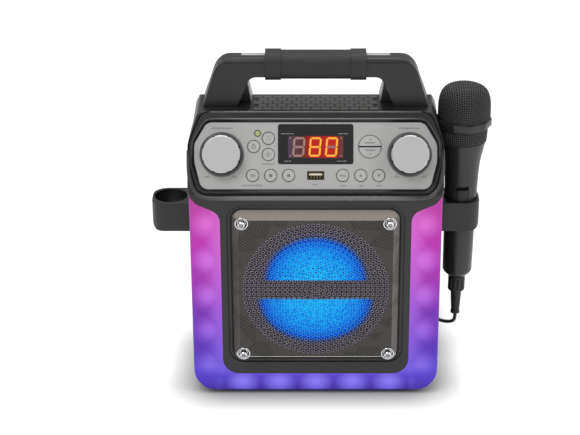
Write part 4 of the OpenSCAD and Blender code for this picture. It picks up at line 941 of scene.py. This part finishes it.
def make_mic_head():
    """The woven head, a dome with a flattened top over a skirt, with wires that stand out of it a little."""
    outer = []
    for k in range(DOME_ROWS):
        turn = k / DOME_ROWS * math.pi / 2
        outer.append((DOME_R * math.cos(turn) ** 0.5, BAND_TOP_Z + DOME_H * math.sin(turn) ** 0.5))
    outer.append((0, BAND_TOP_Z + DOME_H))
    arcs = [0.0]
    for here, there in zip(outer, outer[1:]):
        arcs.append(arcs[-1] + math.dist(here, there))
    wide, tall = DOME_R - 1.0 - SKIRT_R, BAND_TOP_Z - 0.6 - SKIRT_Z
    skirt = [(SKIRT_R + wide * k / SKIRT_ROWS, SKIRT_Z + tall * k / SKIRT_ROWS)
             for k in range(SKIRT_ROWS + 1)]
    head = turned("mic_woven_head", [HEAD_LOW] + skirt + outer + HEAD_INNER + [HEAD_LOW], steps=288)
    sheet = head.data.uv_layers.new(name="weave")
    places = []
    for vertex in head.data.vertices:
        x, y, z = (c / MM for c in vertex.co)
        radius, up, around = math.hypot(x, y), z - BAND_TOP_Z, math.atan2(x, -y)
        high = max(up, 0.0) / DOME_H
        on_dome = up >= 0 and high ** 4 + (radius / DOME_R) ** 4 > 0.97
        arc = arcs[-1] - up
        if on_dome:
            row = math.atan2(high ** 2, (radius / DOME_R) ** 2) / (math.pi / 2) * DOME_ROWS
            step = min(int(row), DOME_ROWS - 1)
            arc = arcs[-1] - arcs[step] - (arcs[step + 1] - arcs[step]) * (row - step)
        place = woven_sheet(around, arc, min(radius, DOME_R)) if up >= 0 else [arc, around * DOME_R]
        places.append(place)
        if arc > 1.5 and z > SKIRT_Z - 0.2 and radius > 0.1 and (up < 0 or on_dome):
            warp, weft = (math.sin(math.pi * c / WIRE_PITCH) for c in place)
            wire = max(warp ** 2 * (0.6 + 0.4 * warp * weft), weft ** 2 * (0.6 - 0.4 * warp * weft))
            outward = Vector((x / radius, y / radius, 0.3 if up > 24 else 0.0))
            vertex.co += outward * (wire - 0.5) * WIRE_DEEP * MM
    for loop in head.data.loops:
        sheet.data[loop.index].uv = places[loop.vertex_index]
    select_only(head)
    bpy.ops.object.shade_smooth()
    on_microphone(head, "mic_woven_head", mic_mesh_metal(), "mic_grille")


def make_mic_band():
    """The band round the head, with ten flats."""
    middle = (0, 0, (BAND_TOP_Z - BAND_H / 2) * MM)
    band = fresh("cylinder", vertices=10, radius=BAND_R * MM, depth=BAND_H * MM, location=middle,
                 rotation=(0, 0, math.radians(10.4)))
    bpy.ops.object.transform_apply(location=True, rotation=True)
    soften = band.modifiers.new("soften", "BEVEL")
    soften.width = 0.5 * MM
    soften.segments = 2
    bpy.ops.object.modifier_apply(modifier=soften.name)
    cut_away(band, [fresh("cylinder", vertices=64, radius=23.6 * MM, depth=12 * MM, location=middle)])
    on_microphone(band, "mic_head_band", plain("mic_paint"), "mic_ring")


def bead(name, half, radius, steps=0):
    """A bead along the console from side to side; half is the route from the middle to the right."""
    right = [console_point(*point) for point in half]
    route = [Vector((-p.x, p.y, p.z)) for p in reversed(right[1:])] + right
    if steps:
        route = [p * MM for p in smooth([p / MM for p in route], steps)]
    seated(drawn_line(name, route, radius * MM), name, ridge_painted_highlight())


def make_console_ridges():
    """The ridges under the console and over it, and the deck's front edge."""
    bead("console_low_ridge",
         [(0, -2.6, 0.5), (60, -2.6, 0.5), (88, -2.6, 0.5), (95, -2.3, 0.2), (101, -1.0, -0.3),
          (105.6, 1.9, -0.6), (108.9, 6.2, -0.8), (110.9, 12, -1.0), (112.2, 19, -1.2), (112.7, 28, -1.6),
          (112.7, 40, -2.4)], 2.2, 4)
    bead("console_top_ridge",
         [(0, 67.9, 1.9), (70, 67.9, 1.9), (90, 67.8, 1.9), (95, 67.2, 1.9), (98.6, 65.4, 1.9),
          (101, 62.4, 1.9), (106.6, 53, 1.9), (109.2, 47.5, 1.9), (109.9, 42, 1.9), (109.9, 34, 1.7)],
         0.85, 4)
    bead("deck_front_edge", [(0, 73.8, 0.1), (60, 73.8, 0.1), (94, 73.7, 0.1)], 1.2)


def make_screw_cups():
    """Bright turned rims of the dishes that hold the cover's four screws, and dark rings on the screws that
    are painted shade where their sockets are.
    """
    cups, sockets = [], []
    for x in (-SCREW_OUT, SCREW_OUT):
        for z in (-SCREW_OUT, SCREW_OUT):
            for rings, out, segments, major, minor in ((cups, 0.1, (40, 10), 5.5, 0.6),
                                                       (sockets, -3.5, (24, 8), 1.7, 0.45)):
                place = (x * MM, (COVER_FACE_Y + out) * MM, (SPEAKER_Z + z) * MM)
                rings.append(fresh("torus", location=place, rotation=(math.pi / 2, 0, 0),
                                   major_segments=segments[0], minor_segments=segments[1],
                                   major_radius=major * MM, minor_radius=minor * MM))
                bpy.ops.object.shade_smooth()
    seated(joined(cups), "cover_screw_cups", plain("chrome"))
    # Dark rings standing as painted shade inside the screws' sockets
    seated(joined(sockets), "cover_screw_painted_shade", plain("dark_plastic"))


# Floor, light and background


def make_stage():
    """White paper that shows the object's own shadow close under it."""
    floor = fresh("plane", size=30, location=(0, 0, 0))
    floor.name = "studio_floor"
    material = bpy.data.materials.new("studio_floor")
    material.use_nodes = True
    tree = material.node_tree
    tree.nodes.clear()
    paper = add(tree, "BsdfDiffuse", Color=(0.8, 0.8, 0.8, 1)).outputs[0]
    pale = add(tree, "BsdfDiffuse", Color=(0.28, 0.28, 0.28, 1)).outputs[0]
    close = add(tree, "AmbientOcclusion", samples=8, Distance=0.035).outputs["AO"]
    bright = times(tree, math_node("POWER", tree, close, 2.2), 0.86)
    light = add(tree, "Emission", Color=WHITE, Strength=bright).outputs[0]
    shown = add(tree, "AddShader")
    put(tree, shown.inputs[0], pale)
    put(tree, shown.inputs[1], light)
    out = add(tree, "OutputMaterial")
    put(tree, out.inputs[0], seen_or_lighting(tree, shown.outputs[0], paper, glossy=True))
    floor.data.materials.append(material)


def seen_or_lighting(tree, shown, lighting, glossy):
    """One shader for what is seen, through glass or, if glossy, in reflections, and one for what lights."""
    path = add(tree, "LightPath").outputs
    seen = larger(tree, path["Is Camera Ray"], path["Is Transmission Ray"])
    if glossy:
        seen = larger(tree, seen, path["Is Glossy Ray"])
    pick = add(tree, "MixShader")
    for socket, value in zip(pick.inputs, (seen, lighting, shown)):
        put(tree, socket, value)
    return pick.outputs[0]


def make_world():
    world = bpy.data.worlds.new("studio_air")
    bpy.context.scene.world = world
    world.use_nodes = True
    tree = world.node_tree
    tree.nodes.clear()
    air, backdrop = (add(tree, "Background", Color=WHITE, Strength=strength).outputs[0]
                     for strength in (0.45, 1.0))
    out = add(tree, "OutputWorld")
    put(tree, out.inputs[0], seen_or_lighting(tree, backdrop, air, glossy=False))


def add_lamp(place, target, size, power):
    bpy.ops.object.light_add(type="AREA", location=place)
    lamp = bpy.context.object
    lamp.data.shape = "RECTANGLE"
    lamp.data.size, lamp.data.size_y = size
    lamp.data.energy = power
    direction = Vector(target) - Vector(place)
    lamp.rotation_euler = direction.to_track_quat("-Z", "Y").to_euler()


def make_lamps():
    add_lamp((-0.75, -1.15, 2.1), (0, 0, 0.15), (1.1, 1.1), 19)
    add_lamp((1.5, -0.6, 1.3), (0, 0, 0.15), (0.9, 1.4), 10)
    add_lamp((0.1, 0.8, 2.0), (0, 0, 0.25), (1.4, 0.8), 14)


def main():
    add_camera()
    make_cord()
    dress_nodes()
    make_hole_rims()
    make_display()
    make_button_marks()
    make_panel_marks()
    make_usb_tongue()
    make_lamp_ring()
    make_console_ridges()
    make_screw_cups()
    make_mic_shell()
    make_mic_head()
    make_mic_band()
    make_stage()
    make_world()
    make_lamps()
    bpy.context.scene.view_settings.view_transform = "Standard"


main()
